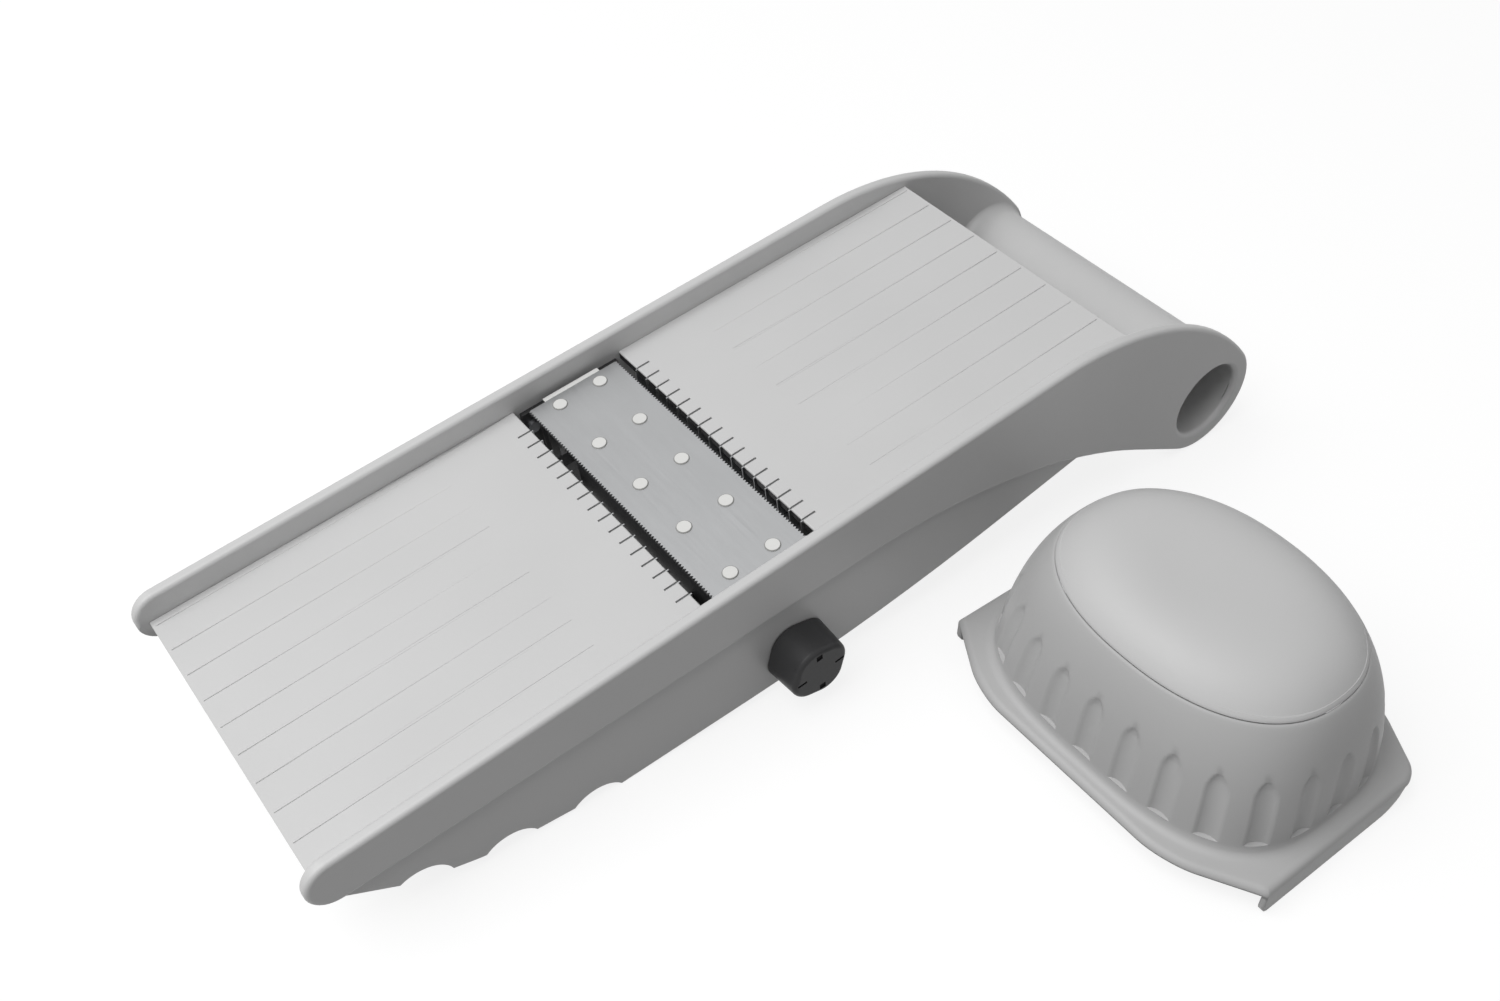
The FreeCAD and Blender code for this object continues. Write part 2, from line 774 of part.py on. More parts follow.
def make_feet():
    feet = []
    for side in (-1, 1):
        y = (d.half - d.foot_inset_y) * side
        low = -d.deck_thick - d.foot_height
        stem = rod(d.foot_radius, d.foot_height, (d.foot_inset_x, y, low), name="foot_stem")
        doc.recompute()
        foot = doc.addObject("Part::Fillet", "foot")
        foot.Base = stem
        low_z = low.value
        rims = [row for row, e in enumerate(stem.Shape.Edges, 1) if abs(e.CenterOfMass.z - low_z) < 1e-6]
        foot.Edges = [(row, d.foot_round.value, d.foot_round.value) for row in rims]
        feet.append(foot)
    stand(group(feet, "foot_pair"), "front_feet")


# Blade carriage: serrated plate, carrier with end tongues and cam legs, and the stakes


def saw_edge(x_root, x_tip, y_start, y_end, count):
    """Corner points of one row of saw teeth between two ends."""
    step = (y_end - y_start) / count
    spots = []
    for tooth in range(count):
        spots.append(Vec(x_root, y_start + step * tooth, 0))
        spots.append(Vec(x_tip, y_start + step * (tooth + 0.5), 0))
    spots.append(Vec(x_root, y_end, 0))
    return spots


def stake_spots():
    row = d.stake_pitch * (d.stake_count.value - 1) / 2
    for x in (d.blade_x - d.stake_rows / 2, d.blade_x + d.stake_rows / 2):
        for index in range(int(d.stake_count.value)):
            yield x, d.stake_pitch * index - row


def make_blade_plate():
    middle = d.blade_x.value
    tip = d.plate_width.value / 2
    root = tip - d.tooth_depth.value
    end = d.plate_length.value / 2
    count = int(d.plate_length.value / d.tooth_pitch.value)
    right = saw_edge(middle + root, middle + tip, -end, end, count)
    left = saw_edge(middle - root, middle - tip, end, -end, count)
    outline = right + left
    plate = raised(Part.makePolygon(outline + outline[:1]), Vec(0, 0, d.plate_thick.value))
    hole = d.stake_radius.value + d.seat_clear.value
    tools = []
    for x, y in stake_spots():
        tools.append(Part.makeCylinder(hole, d.plate_thick.value + 2, Vec(x.value, y.value, -1)))
    stand(formed(plate.cut(tools), "plate"), "blade_plate")


def make_plate_stakes():
    stakes = []
    for x, y in stake_spots():
        shank = rod(d.stake_radius, d.plate_thick, (x, y, 0))
        head = rod(d.stake_head_radius, d.stake_head_thick, (x, y, d.plate_thick))
        stakes.append(fuse(shank, head, name="stake"))
    stand(group(stakes, "stake_set"), "plate_stakes")


def make_blade_carrier():
    """A bar under the plate; its apron closes the infeed side of the gap from the near end to past the middle."""
    low_x = d.blade_x - d.carrier_width / 2
    high_x = d.blade_x + d.carrier_width / 2
    end = d.tongue_end
    pieces = [box((low_x, high_x), (-end, end), (-d.carrier_thick, 0), "carrier_top")]
    apron_x = d.blade_x - d.plate_width / 2 + d.apron_lap
    apron_y = (1 - d.rail_in, d.apron_far)
    pieces.append(box((apron_x, low_x), apron_y, (-d.bed_thick, 0), "plate_bed"))
    pieces.append(box((apron_x, apron_x + d.apron_thick), apron_y, (-d.apron_depth, 0), "apron"))
    for side in (-1, 1):
        y = (d.rail_in, end) if side > 0 else (-end, -d.rail_in)
        pieces.append(box((low_x, high_x), y, (-d.tongue_depth, 0), "tongue"))
        tab = (end - d.tab_thick, end) if side > 0 else (-end, d.tab_thick - end)
        pieces.append(box((low_x, high_x), tab, (-d.carrier_thick, d.tab_rise), "tab"))
        leg_y = d.blade_cam_y * side
        span = (leg_y - d.leg_thick / 2, leg_y + d.leg_thick / 2)
        leg_x = (d.shaft_x - d.leg_width / 2, d.shaft_x + d.leg_width / 2)
        pieces.append(box(leg_x, span, (-d.pad_drop, 0), "leg"))
    stand(fuse(*pieces, name="carrier"), "blade_carrier")


# Comb carriage: a frame under the blade with a steel comb along each side of the gap


def comb_x(side):
    """The comb strip's two edges, from the blade outwards."""
    near = d.blade_x + (d.gap_width / 2 + d.comb_inset) * side
    far = near + d.comb_width * side
    return (near, far) if side > 0 else (far, near)


def tine_spots():
    row = d.slit_pitch * (d.slit_count - 1) / 2
    return [d.slit_pitch * index - row for index in range(int(d.slit_count.value))]


def make_comb(label, side):
    strip_z = (-d.comb_drop, d.comb_thick - d.comb_drop)
    pieces = [box(comb_x(side), (-d.comb_end, d.comb_end), strip_z, "strip")]
    nose = d.blade_x + (d.gap_width / 2 - d.tine_nose) * side
    heel = d.blade_x + (d.gap_width / 2 + d.slit_length - d.comb_inset * 2) * side
    tine_x = (nose, heel) if side > 0 else (heel, nose)
    for y in tine_spots():
        span = (y - d.tine_thick / 2, y + d.tine_thick / 2)
        pieces.append(box(tine_x, span, (-d.comb_drop, -d.tine_tip_drop), "tine"))
    strip = fuse(*pieces, name="comb_blank")
    holes = []
    for y in (-d.post_y, d.post_y):
        start = (d.blade_x + d.row_x * side, y, -d.comb_drop - 1)
        holes.append(rod(d.post_radius + d.comb_thick, d.comb_thick + 2, start))
    for y in rivet_rows():
        start = (d.blade_x + d.row_x * side, y, -d.comb_drop - 1)
        holes.append(rod(d.rivet_radius + d.seat_clear, d.comb_thick + 2, start))
    stand(cut(strip, *holes, name="comb"), label)


def rivet_rows():
    return (-d.rivet_y, zero, d.rivet_y)


def make_comb_rivets():
    rivets = []
    for side in (-1, 1):
        for y in rivet_rows():
            x = d.blade_x + d.row_x * side
            low = (x, y, -d.beam_low)
            shank = rod(d.rivet_radius, d.beam_thick + d.comb_thick, low)
            head = rod(d.rivet_head_radius, d.rivet_head_thick, (x, y, d.comb_thick - d.comb_drop))
            rivets.append(fuse(shank, head, name="rivet"))
    stand(group(rivets, "rivet_set"), "comb_rivets")


def make_comb_frame():
    pieces = []
    holes = []
    for side in (-1, 1):
        middle = d.blade_x + (d.gap_width / 2 + d.comb_width / 2) * side
        beam_x = (middle - d.beam_width / 2, middle + d.beam_width / 2)
        pieces.append(box(beam_x, (-d.beam_end, d.beam_end), (-d.beam_low, -d.comb_drop), "beam"))
        x = d.blade_x + d.row_x * side
        for y in (-d.post_y, d.post_y):
            start = (x, y, -d.beam_low - 1)
            holes.append(rod(d.post_radius + d.run_clear, d.beam_thick + 2, start))
        for y in rivet_rows():
            holes.append(rod(d.rivet_radius + d.seat_clear, d.beam_thick + 2, (x, y, -d.beam_low - 1)))
        bridge_y = d.bridge_y * side
        span = (bridge_y - d.bridge_thick / 2, bridge_y + d.bridge_thick / 2)
        reach = d.gap_width / 2 + d.comb_width
        bridge_x = (d.blade_x - reach, d.blade_x + reach)
        pieces.append(box(bridge_x, span, (-d.pad_drop, -d.beam_low), "bridge"))
    stand(cut(fuse(*pieces, name="frame_blank"), *holes, name="comb_frame"), "comb_lift_frame")


def make_guide_posts():
    posts = []
    for side in (-1, 1):
        for y in (-d.post_y, d.post_y):
            start = (d.blade_x + d.row_x * side, y, d.post_seat - d.deck_thick - d.post_length)
            posts.append(rod(d.post_radius, d.post_length, start, name="post"))
    stand(group(posts, "post_set"), "guide_posts")


# Cam shaft, cams and knob


def make_cam_shaft():
    """A square bar for the cams, with a round journal at each end and a square stub for the knob."""
    far_end = d.skirt_face - d.bush_cap_thick - d.seat_clear
    journal_z = -d.shaft_drop
    near_start = (d.shaft_x, -d.knob_back, journal_z)
    far_start = (d.shaft_x, d.shoulder, journal_z)
    near_journal = rod(d.journal_radius, d.knob_back - d.shoulder, near_start, "y", "near_journal")
    far_journal = rod(d.journal_radius, far_end - d.shoulder, far_start, "y", "far_journal")
    bar = square_bar(d.shaft_square, (-d.shoulder, d.shoulder), "bar")
    stub = square_bar(d.drive_square, (-d.knob_back - d.drive_length, -d.knob_back), "stub")
    stand(fuse(near_journal, far_journal, bar, stub, name="shaft"), "cam_shaft")


def square_bar(side, span, name):
    """A square length of the cam shaft, centred on its axis."""
    half = side / 2
    wide = (d.shaft_x - half, d.shaft_x + half)
    return box(wide, span, (-d.shaft_drop - half, half - d.shaft_drop), name)


def cam_shape(lift, y_middle):
    """A cam whose radius grows evenly over the knob's range and drops back in the rest of the turn."""
    low_angle = d.cam_drop_start.value
    high_angle = d.cam_drop_end.value
    spots = []
    step = 10
    for turn in range(0, 360, step):
        back = (360 - turn) % 360
        if back <= d.turn_range.value:
            rise = back / d.turn_range.value
        else:
            share = min(max((turn - low_angle) / (high_angle - low_angle), 0.0), 1.0)
            rise = share * share * (3 - 2 * share)
        radius = d.cam_radius.value + lift.value * rise
        angle = math.radians(turn)
        spots.append(Vec(radius * math.sin(angle), 0, radius * math.cos(angle)))
    curve = Part.BSplineCurve()
    curve.interpolate(Points=spots, PeriodicFlag=True)
    disc = raised(Part.Wire(curve.toShape()), Vec(0, d.cam_width.value, 0))
    side = d.shaft_square.value + 2 * d.seat_clear.value
    hole = Part.makeBox(side, d.cam_width.value + 2, side, Vec(-side / 2, -1, -side / 2))
    cam = disc.cut(hole)
    cam.translate(Vec(d.shaft_x.value, y_middle.value - d.cam_width.value / 2, -d.shaft_drop.value))
    return cam


def make_cams():
    blade = [cam_shape(d.blade_lift, d.blade_cam_y * side) for side in (-1, 1)]
    comb = [cam_shape(d.comb_lift, d.bridge_y * side) for side in (-1, 1)]
    stand(formed(Part.makeCompound(blade), "blade_cam_pair"), "blade_cams")
    stand(formed(Part.makeCompound(comb), "comb_cam_pair"), "comb_cams")


def make_washers():
    washers = []
    for low in (d.washer_end - d.washer_thick, -d.washer_end):
        disc = rod(d.washer_radius, d.washer_thick, on_shaft(low), "y", "disc")
        hole_start = on_shaft(low - 1)
        hole = rod(d.journal_radius + d.seat_clear, d.washer_thick + 2, hole_start, "y", "hole")
        washers.append(cut(disc, hole, name="washer"))
    stand(group(washers, "washer_pair"), "thrust_washers")


def on_shaft(y):
    return (d.shaft_x, y, -d.shaft_drop)


def make_bush(label, side):
    """A flanged bush; the far one is closed at its outer end."""
    flange_in = d.half - d.bush_flange_thick
    if side > 0:
        sleeve_low = d.half
        flange_low = flange_in
        bore_low = flange_in - 1
        bore_high = d.skirt_face - d.bush_cap_thick
    else:
        sleeve_low = -d.skirt_face
        flange_low = -d.half
        bore_low = -d.skirt_face - 1
        bore_high = 1 - flange_in
    sleeve = rod(d.bush_radius, d.skirt_face - d.half, on_shaft(sleeve_low), "y", "sleeve")
    flange = rod(d.bush_flange_radius, d.bush_flange_thick, on_shaft(flange_low), "y", "flange")
    bore = rod(d.journal_radius + d.run_clear, bore_high - bore_low, on_shaft(bore_low), "y", "bore")
    stand(cut(fuse(sleeve, flange, name="bush_blank"), bore, name="bush"), label)


def knob_wire(width, corner):
    half = width / 2
    corners = [(half, half, corner), (-half, half, corner), (-half, -half, corner), (half, -half, corner)]
    return rounded_wire(corners)


def make_knob():
    length = d.knob_length.value
    back = knob_wire(d.knob_width.value, d.knob_corner.value)
    front = knob_wire(d.knob_width.value - 2 * d.knob_taper.value, d.knob_corner.value)
    front.translate(Vec(0, -length, 0))
    knob = Part.makeLoft([back, front], True, True)
    knob = knob.makeFillet(d.knob_round.value, edges_on(knob, lambda spot: spot.y < 1e-6 - length))
    knob.rotate(Vec(0, 0, 0), Vec(0, 1, 0), d.knob_twist.value)
    side = d.drive_square.value + 2 * d.seat_clear.value
    depth = d.drive_length.value + d.seat_clear.value
    middle = Vec(d.shaft_x.value, -d.knob_back.value, -d.shaft_drop.value)
    knob.translate(middle)
    knob = knob.cut(Part.makeBox(side, depth + 1, side, middle + Vec(-side / 2, -depth, -side / 2)))
    floor = d.mark_depth.value - length
    circle = d.mark_circle.value
    for x, z, wide, tall in (
        (circle, 0, d.mark_length.value, d.mark_width.value),
        (-circle, 0, d.mark_length.value, d.mark_width.value),
        (0, circle, d.mark_square.value, d.mark_square.value),
        (0, -circle, d.mark_square.value, d.mark_square.value),
    ):
        corner = middle + Vec(x - wide / 2, floor - 2, z - tall / 2)
        knob = knob.cut(Part.makeBox(wide, 2, tall, corner))
    stand(formed(knob, "knob"), "adjuster_knob")


# Guides for the carrier's tongues, and the leaf that holds the knob's settings


def make_guide(label, side):
    middle = d.blade_x
    face = d.guide_face
    plate_y = (face, d.half) if side > 0 else (-d.half, -face)
    rail_y = (d.rail_in, face) if side > 0 else (-face, -d.rail_in)
    height = (-d.guide_low, -d.guide_high)
    pieces = [box((middle - d.guide_half, middle + d.guide_half), plate_y, height, "guide_plate")]
    slot = d.slot_half
    pieces.append(box((middle - slot - d.guide_rail_thick, middle - slot), rail_y, height, "guide_rail"))
    pieces.append(box((middle + slot, middle + slot + d.guide_rail_thick), rail_y, height, "guide_rail"))
    holes = []
    if side < 0:
        foot_x = (middle - slot - d.guide_rail_thick, middle - slot)
        pieces.append(box(foot_x, rail_y, (d.leaf_high, -d.guide_low), "leaf_foot"))
        spot = (*leaf_screw_spot(), d.leaf_high)
        holes.append(rod(d.leaf_screw_radius + d.seat_clear, d.screw_bite * 2, spot))
    for way in (-1, 1):
        spot = (middle + d.guide_screw_x * way, plate_y[0] - 1, -d.guide_screw_drop)
        holes.append(rod(d.screw_radius + d.seat_clear, d.guide_plate_thick + 2, spot, "y"))
    stand(cut(fuse(*pieces, name="guide_blank"), *holes, name="guide"), label)


def make_guide_screws():
    screws = []
    head_in = d.guide_face - d.screw_head_thick
    reach = d.screw_head_thick + d.guide_plate_thick + d.guide_screw_bite
    for side in (-1, 1):
        for way in (-1, 1):
            x = d.blade_x + d.guide_screw_x * way
            z = -d.guide_screw_drop
            head_y = head_in if side > 0 else -head_in - d.screw_head_thick
            shank_y = head_in if side > 0 else -head_in - reach
            head = rod(d.screw_head_radius - d.screw_radius / 4, d.screw_head_thick, (x, head_y, z), "y")
            shank = rod(d.screw_radius, reach, (x, shank_y, z), "y")
            screws.append(fuse(head, shank, name="screw"))
    stand(group(screws, "guide_screw_set"), "guide_screws")


def leaf_screw_spot():
    return (d.blade_x - d.slot_half - d.guide_rail_thick / 2, -d.rail_in - d.leaf_width / 2)


def make_detent():
    heel = d.blade_x - d.slot_half - d.guide_rail_thick
    y = (-d.rail_in - d.leaf_width, -d.rail_in)
    strip = box((heel, d.shaft_x + d.leaf_reach), y, (d.leaf_low, d.leaf_high), "leaf_strip")
    spot = leaf_screw_spot()
    hole_start = (*spot, d.leaf_low - 1)
    hole = rod(d.leaf_screw_radius + d.seat_clear, d.leaf_thick + 2, hole_start, name="leaf_hole")
    stand(cut(strip, hole, name="leaf"), "detent_leaf")
    head = rod(d.leaf_screw_head, d.leaf_thick * 2, (*spot, d.leaf_low - d.leaf_thick * 2), name="head")
    reach = d.leaf_thick * 3 + d.screw_bite * 1.5
    shank = rod(d.leaf_screw_radius, reach, (*spot, d.leaf_low - d.leaf_thick * 2), name="shank")
    stand(fuse(head, shank, name="leaf_screw"), "detent_screw")


# Hand guard: a domed shell on a flange with two lips, its cap, and the prongs inside


def oval(depth, width, squareness, height):
    """A closed superellipse at one height; squareness 2 is a plain ellipse."""
    count = 32
    spots = []
    for index in range(count):
        angle = 2 * math.pi * index / count
        c = math.cos(angle)
        s = math.sin(angle)
        reach = (abs(c) ** squareness + abs(s) ** squareness) ** (-1 / squareness)
        spots.append(Vec(depth / 2 * reach * c, width / 2 * reach * s, height))
    curve = Part.BSplineCurve()
    curve.interpolate(Points=spots, PeriodicFlag=True)
    return Part.Wire(curve.toShape())


def dome_section(height, inset):
    base = d.lip_height.value
    share = (height - base) / (d.dome_height.value - base)
    scale = (1 - max(share, 0.0) ** d.dome_bend.value) ** (1 / d.dome_flatness.value)
    fall = d.dome_square.value - d.dome_square_top.value
    squareness = d.dome_square.value - fall * min(max(share, 0.0), 1.0)
    depth = d.dome_depth.value * scale - 2 * inset
    width = d.dome_width.value * scale - 2 * inset
    return oval(depth, width, squareness, height)


def dome_loft(heights, inset, crown_wall=0.0):
    """A dome through its sections; towards the crown they are lowered by the crown's wall."""
    seam = d.seam_height.value
    rise = d.dome_height.value - seam
    wires = []
    for height in heights:
        wire = dome_section(height, inset)
        wire.translate(Vec(0, 0, -crown_wall * max(height - seam, 0.0) / rise))
        wires.append(wire)
    return Part.makeLoft(wires, True, False)


def spread(low, high, count):
    return [low + (high - low) * index / (count - 1) for index in range(count)]


def flange_wire(grow=0.0):
    half = d.guard_half.value + grow
    lip = d.lip_length.value / 2
    deep = d.flange_depth.value / 2 + grow
    straight = d.flange_straight.value / 2
    bend = d.flange_round.value
    small = d.lip_round.value
    corners = [
        (lip, half, small),
        (-lip, half, small),
        (-deep, straight, bend),
        (-deep, -straight, bend),
        (-lip, -half, small),
        (lip, -half, small),
        (deep, -straight, bend),
        (deep, straight, bend),
    ]
    return rounded_wire(corners, lambda a, b: Vec(a, b, 0))


def make_guard_shell():
    wall = d.guard_wall.value
    lip_top = d.lip_height.value
    seam = d.seam_height.value
    flange = raised(flange_wire(), Vec(0, 0, lip_top))
    inner_half = d.guard_half.value - wall
    span = d.flange_depth.value + 2
    room = Part.makeBox(span, 2 * inner_half, lip_top - wall, Vec(-span / 2, -inner_half, 0))
    flange = flange.cut(room)
    top_edges = [
        edge
        for edge in edges_on(flange, lambda spot: abs(spot.z - lip_top) < 1e-6)
        if abs(edge.CenterOfMass.y) > inner_half
    ]
    top_edges = [edge for edge in top_edges if edge.Length > d.lip_length.value / 2]
    flange = flange.makeFillet(d.lip_round.value, top_edges)
    heights = [lip_top - wall] + spread(lip_top, seam, 7)
    outside = dome_loft(heights, 0.0)
    inside = dome_loft([lip_top - wall - 1] + heights + [seam + 1], wall)
    shell = flange.fuse(outside).cut(inside)
    lay_guard(formed(shell, "shell"), "guard_shell")


def boss_spots():
    """The four bosses stand between the rows of prongs."""
    x = d.boss_row.value * d.prong_pitch.value
    y = d.boss_column.value * d.prong_pitch.value
    return [(-x, -y), (-x, y), (x, -y), (x, y)]


def make_guard_cap():
    wall = d.guard_wall.value
    low = d.seam_height.value + d.seam_gap.value
    top = d.dome_height.value
    rise = top - low
    heights = [low + rise * share for share in (0.0, 0.3, 0.58, 0.8, 0.94, 0.99)]
    outside = dome_loft(heights, 0.0)
    inside = dome_loft([low - 1] + heights, wall, wall)
    fit = wall + d.seam_gap.value
    skirt_low = low - d.cap_skirt.value
    skirt_high = low + wall
    skirt = dome_loft([skirt_low, low, skirt_high], fit)
    skirt = skirt.cut(dome_loft([skirt_low - 1, skirt_low, low, skirt_high, skirt_high + 1], fit + wall))
    cap = outside.cut(inside).fuse(skirt)
    plate_top = d.prong_plate_height.value + d.prong_plate_thick.value
    hole = d.screw_radius.value + d.seat_clear.value
    for x, y in boss_spots():
        post = Part.makeCylinder(d.boss_radius.value, top - plate_top, Vec(x, y, plate_top))
        lower = Part.makeCylinder(d.boss_radius.value, low - plate_top, Vec(x, y, plate_top))
        cap = cap.fuse(post.common(outside).fuse(lower))
    depth = d.screw_bite.value * 2 + d.seat_clear.value
    for x, y in boss_spots():
        cap = cap.cut(Part.makeCylinder(hole, depth, Vec(x, y, plate_top)))
    lay_guard(formed(cap.removeSplitter(), "cap"), "guard_cap")


def prong_spots():
    pitch = d.prong_pitch.value
    for row in (-1.5, -0.5, 0.5, 1.5):
        for column in (-2.5, -1.5, -0.5, 0.5, 1.5, 2.5):
            if abs(row) + abs(column) < 3.5:
                yield row * pitch, column * pitch


def make_prongs():
    low = d.prong_plate_height
    through = d.prong_plate_thick.value + 2
    square = d.prong_plate_square.value
    plate_wire = oval(d.prong_plate_depth.value, d.prong_plate_width.value, square, low.value)
    plate = raised(plate_wire, Vec(0, 0, d.prong_plate_thick.value))
    screw_hole = d.screw_radius.value + d.seat_clear.value
    pin_hole = d.prong_radius.value + d.seat_clear.value
    for x, y in boss_spots():
        plate = plate.cut(Part.makeCylinder(screw_hole, through, Vec(x, y, low.value - 1)))
    for x, y in prong_spots():
        plate = plate.cut(Part.makeCylinder(pin_hole, through, Vec(x, y, low.value - 1)))
    lay_guard(formed(plate, "prong_plate"), "guard_prong_plate")
    shank_low = low - d.prong_length + d.prong_point
    shank_length = d.prong_length - d.prong_point + d.prong_plate_thick
    pins = []
    for x, y in prong_spots():
        shank = rod(d.prong_radius, shank_length, (x, y, shank_low))
        tip = point(d.prong_radius, d.prong_point, (x, y, shank_low))
        pins.append(fuse(shank, tip, name="prong"))
    lay_guard(group(pins, "prong_set"), "guard_prongs")


def make_guard_screws():
    screws = []
    for x, y in boss_spots():
        head_low = d.prong_plate_height - d.screw_head_thick
        head = rod(d.screw_head_radius, d.screw_head_thick, (x, y, head_low))
        reach = d.screw_head_thick + d.prong_plate_thick + d.screw_bite * 2
        screws.append(fuse(head, rod(d.screw_radius, reach, (x, y, head_low)), name="screw"))
    lay_guard(group(screws, "guard_screw_set"), "guard_screws")


make_side_panels()
make_decks()
make_deck_screws()
make_handle()
make_feet()
make_blade_plate()
make_plate_stakes()
make_blade_carrier()
make_comb("infeed_julienne_comb", -1)
make_comb("outfeed_julienne_comb", 1)
make_comb_rivets()
make_comb_frame()
make_guide_posts()
make_cam_shaft()
make_cams()
make_washers()
make_bush("near_shaft_bush", -1)
make_bush("far_shaft_bush", 1)
make_knob()
make_guide("near_lift_guide", -1)
make_guide("far_lift_guide", 1)
make_guide_screws()
make_detent()
make_guard_shell()
make_guard_cap()
make_prongs()
make_guard_screws()

doc.recompute()
for obj in doc.Objects:
    if "Invalid" in obj.State or "Error" in obj.State:
        raise RuntimeError("%s failed: %s" % (obj.Label, obj.State))
for obj in parts:
    if obj.Shape.isNull() or not obj.Shape.isValid():
        raise RuntimeError("%s has no valid shape" % obj.Label)

os.makedirs("parts", exist_ok=True)
for obj in parts:
    obj.Shape.exportStep("parts/%s.step" % obj.Label)
print("tilt", round(tilt.value, 3), "degrees;", len(parts), "pieces")
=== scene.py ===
import json
import math

import bmesh
import bpy
from mathutils import Matrix, Vector, geometry


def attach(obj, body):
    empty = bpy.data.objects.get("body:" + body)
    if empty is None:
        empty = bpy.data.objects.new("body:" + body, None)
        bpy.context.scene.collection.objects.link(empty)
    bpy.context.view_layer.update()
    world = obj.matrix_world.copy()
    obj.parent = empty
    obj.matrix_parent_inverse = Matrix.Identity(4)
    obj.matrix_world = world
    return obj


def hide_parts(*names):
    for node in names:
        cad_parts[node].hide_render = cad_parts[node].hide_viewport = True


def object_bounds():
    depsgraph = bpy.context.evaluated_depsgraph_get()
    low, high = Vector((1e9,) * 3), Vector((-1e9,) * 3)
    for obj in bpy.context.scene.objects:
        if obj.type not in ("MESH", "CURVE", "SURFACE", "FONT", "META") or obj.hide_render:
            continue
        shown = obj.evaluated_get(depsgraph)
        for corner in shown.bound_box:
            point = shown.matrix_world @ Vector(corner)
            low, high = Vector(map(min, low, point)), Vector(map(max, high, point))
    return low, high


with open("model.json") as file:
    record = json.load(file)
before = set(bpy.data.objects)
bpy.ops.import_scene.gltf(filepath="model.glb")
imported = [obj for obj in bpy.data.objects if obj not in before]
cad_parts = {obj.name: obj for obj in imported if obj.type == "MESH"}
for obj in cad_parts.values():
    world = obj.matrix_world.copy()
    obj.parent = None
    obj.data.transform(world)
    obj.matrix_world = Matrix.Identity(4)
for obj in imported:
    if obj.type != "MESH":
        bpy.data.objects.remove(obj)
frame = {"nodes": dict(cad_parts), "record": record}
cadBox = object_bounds()
nodes = frame["nodes"]
scene = bpy.context.scene
mm = 0.001
print("frame loaded:", len(nodes), "nodes")


# small helpers for colours, nodes and finished pieces

def srgb(hexText):
    channels = [int(hexText[at:at + 2], 16) / 255 for at in (1, 3, 5)]
    linear = [c / 12.92 if c <= 0.04045 else ((c + 0.055) / 1.055) ** 2.4 for c in channels]
    return (*linear, 1.0)


def addNode(tree, kind, inputs=None, **settings):
    node = tree.nodes.new(kind)
    for name, value in settings.items():
        setattr(node, name, value)
    for name, value in (inputs or {}).items():
        if isinstance(value, bpy.types.NodeSocket):
            tree.links.new(value, node.inputs[name])
        else:
            node.inputs[name].default_value = value
    return node


def startMaterial(name):
    material = bpy.data.materials.new(name)
    material.use_nodes = True
    tree = material.node_tree
    tree.nodes.clear()
    shader = addNode(tree, "ShaderNodeBsdfPrincipled")
    addNode(tree, "ShaderNodeOutputMaterial", {"Surface": shader.outputs["BSDF"]})
    place = addNode(tree, "ShaderNodeTexCoord").outputs["Object"]
    return material, tree, shader, place


def finishMesh(mesh, name, material, sharpFrom=35.0):
    data = bpy.data.meshes.new(name)
    mesh.to_mesh(data)
    mesh.free()
    data.materials.append(material)
    for face in data.polygons:
        face.use_smooth = True
    data.set_sharp_from_angle(angle=math.radians(sharpFrom))
    piece = bpy.data.objects.new(name, data)
    scene.collection.objects.link(piece)
    return piece


def placePiece(piece, body, slot, *replaced):
    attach(piece, body)
    if replaced:
        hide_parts(*replaced)


# every skin: a tint that drifts between two tones, and a pattern that roughens and embosses it
patternSpan = (0.3, 0.7)


def addSkin(tree, shader, look, drift, pattern, depthMm):
    tint = addNode(tree, "ShaderNodeMix", {
        0: drift.outputs["Fac"], 6: srgb(look["shade"]), 7: srgb(look["tone"])}, data_type="RGBA")
    skin = addNode(tree, "ShaderNodeMapRange", {
        "Value": pattern.outputs["Fac"], "From Min": patternSpan[0], "From Max": patternSpan[1],
        "To Min": look["roughLow"], "To Max": look["roughHigh"]})
    relief = addNode(tree, "ShaderNodeBump", {
        "Height": pattern.outputs["Fac"], "Strength": look["relief"], "Distance": depthMm * mm})
    tree.links.new(tint.outputs[2], shader.inputs["Base Color"])
    tree.links.new(skin.outputs["Result"], shader.inputs["Roughness"])
    tree.links.new(relief.outputs["Normal"], shader.inputs["Normal"])


# moulded plastics: satin skin with a fine spark texture and a faint clouding where the melt flowed
plasticSkin = {"cloudDetail": 2.0, "grainDetail": 3.0, "grainBreak": 0.6, "depthMm": 0.05, "sheen": 0.5}


def mouldedPlastic(name, look):
    material, tree, shader, place = startMaterial(name)
    cloud = addNode(tree, "ShaderNodeTexNoise", {
        "Vector": place, "Scale": 1 / (look["cloudMm"] * mm), "Detail": plasticSkin["cloudDetail"]})
    grain = addNode(tree, "ShaderNodeTexNoise", {
        "Vector": place, "Scale": 1 / (look["grainMm"] * mm), "Detail": plasticSkin["grainDetail"],
        "Roughness": plasticSkin["grainBreak"]})
    addSkin(tree, shader, look, cloud, grain, plasticSkin["depthMm"])
    shader.inputs["IOR"].default_value = look["ior"]
    shader.inputs["Specular IOR Level"].default_value = look.get("sheen", plasticSkin["sheen"])
    return material


# steels: fine parallel grinding lines, or the soft mottle of plating
metalSkin = {"stainDetail": 2.0, "lineDetail": 4.0, "lineBreak": 0.65, "depthMm": 0.03}


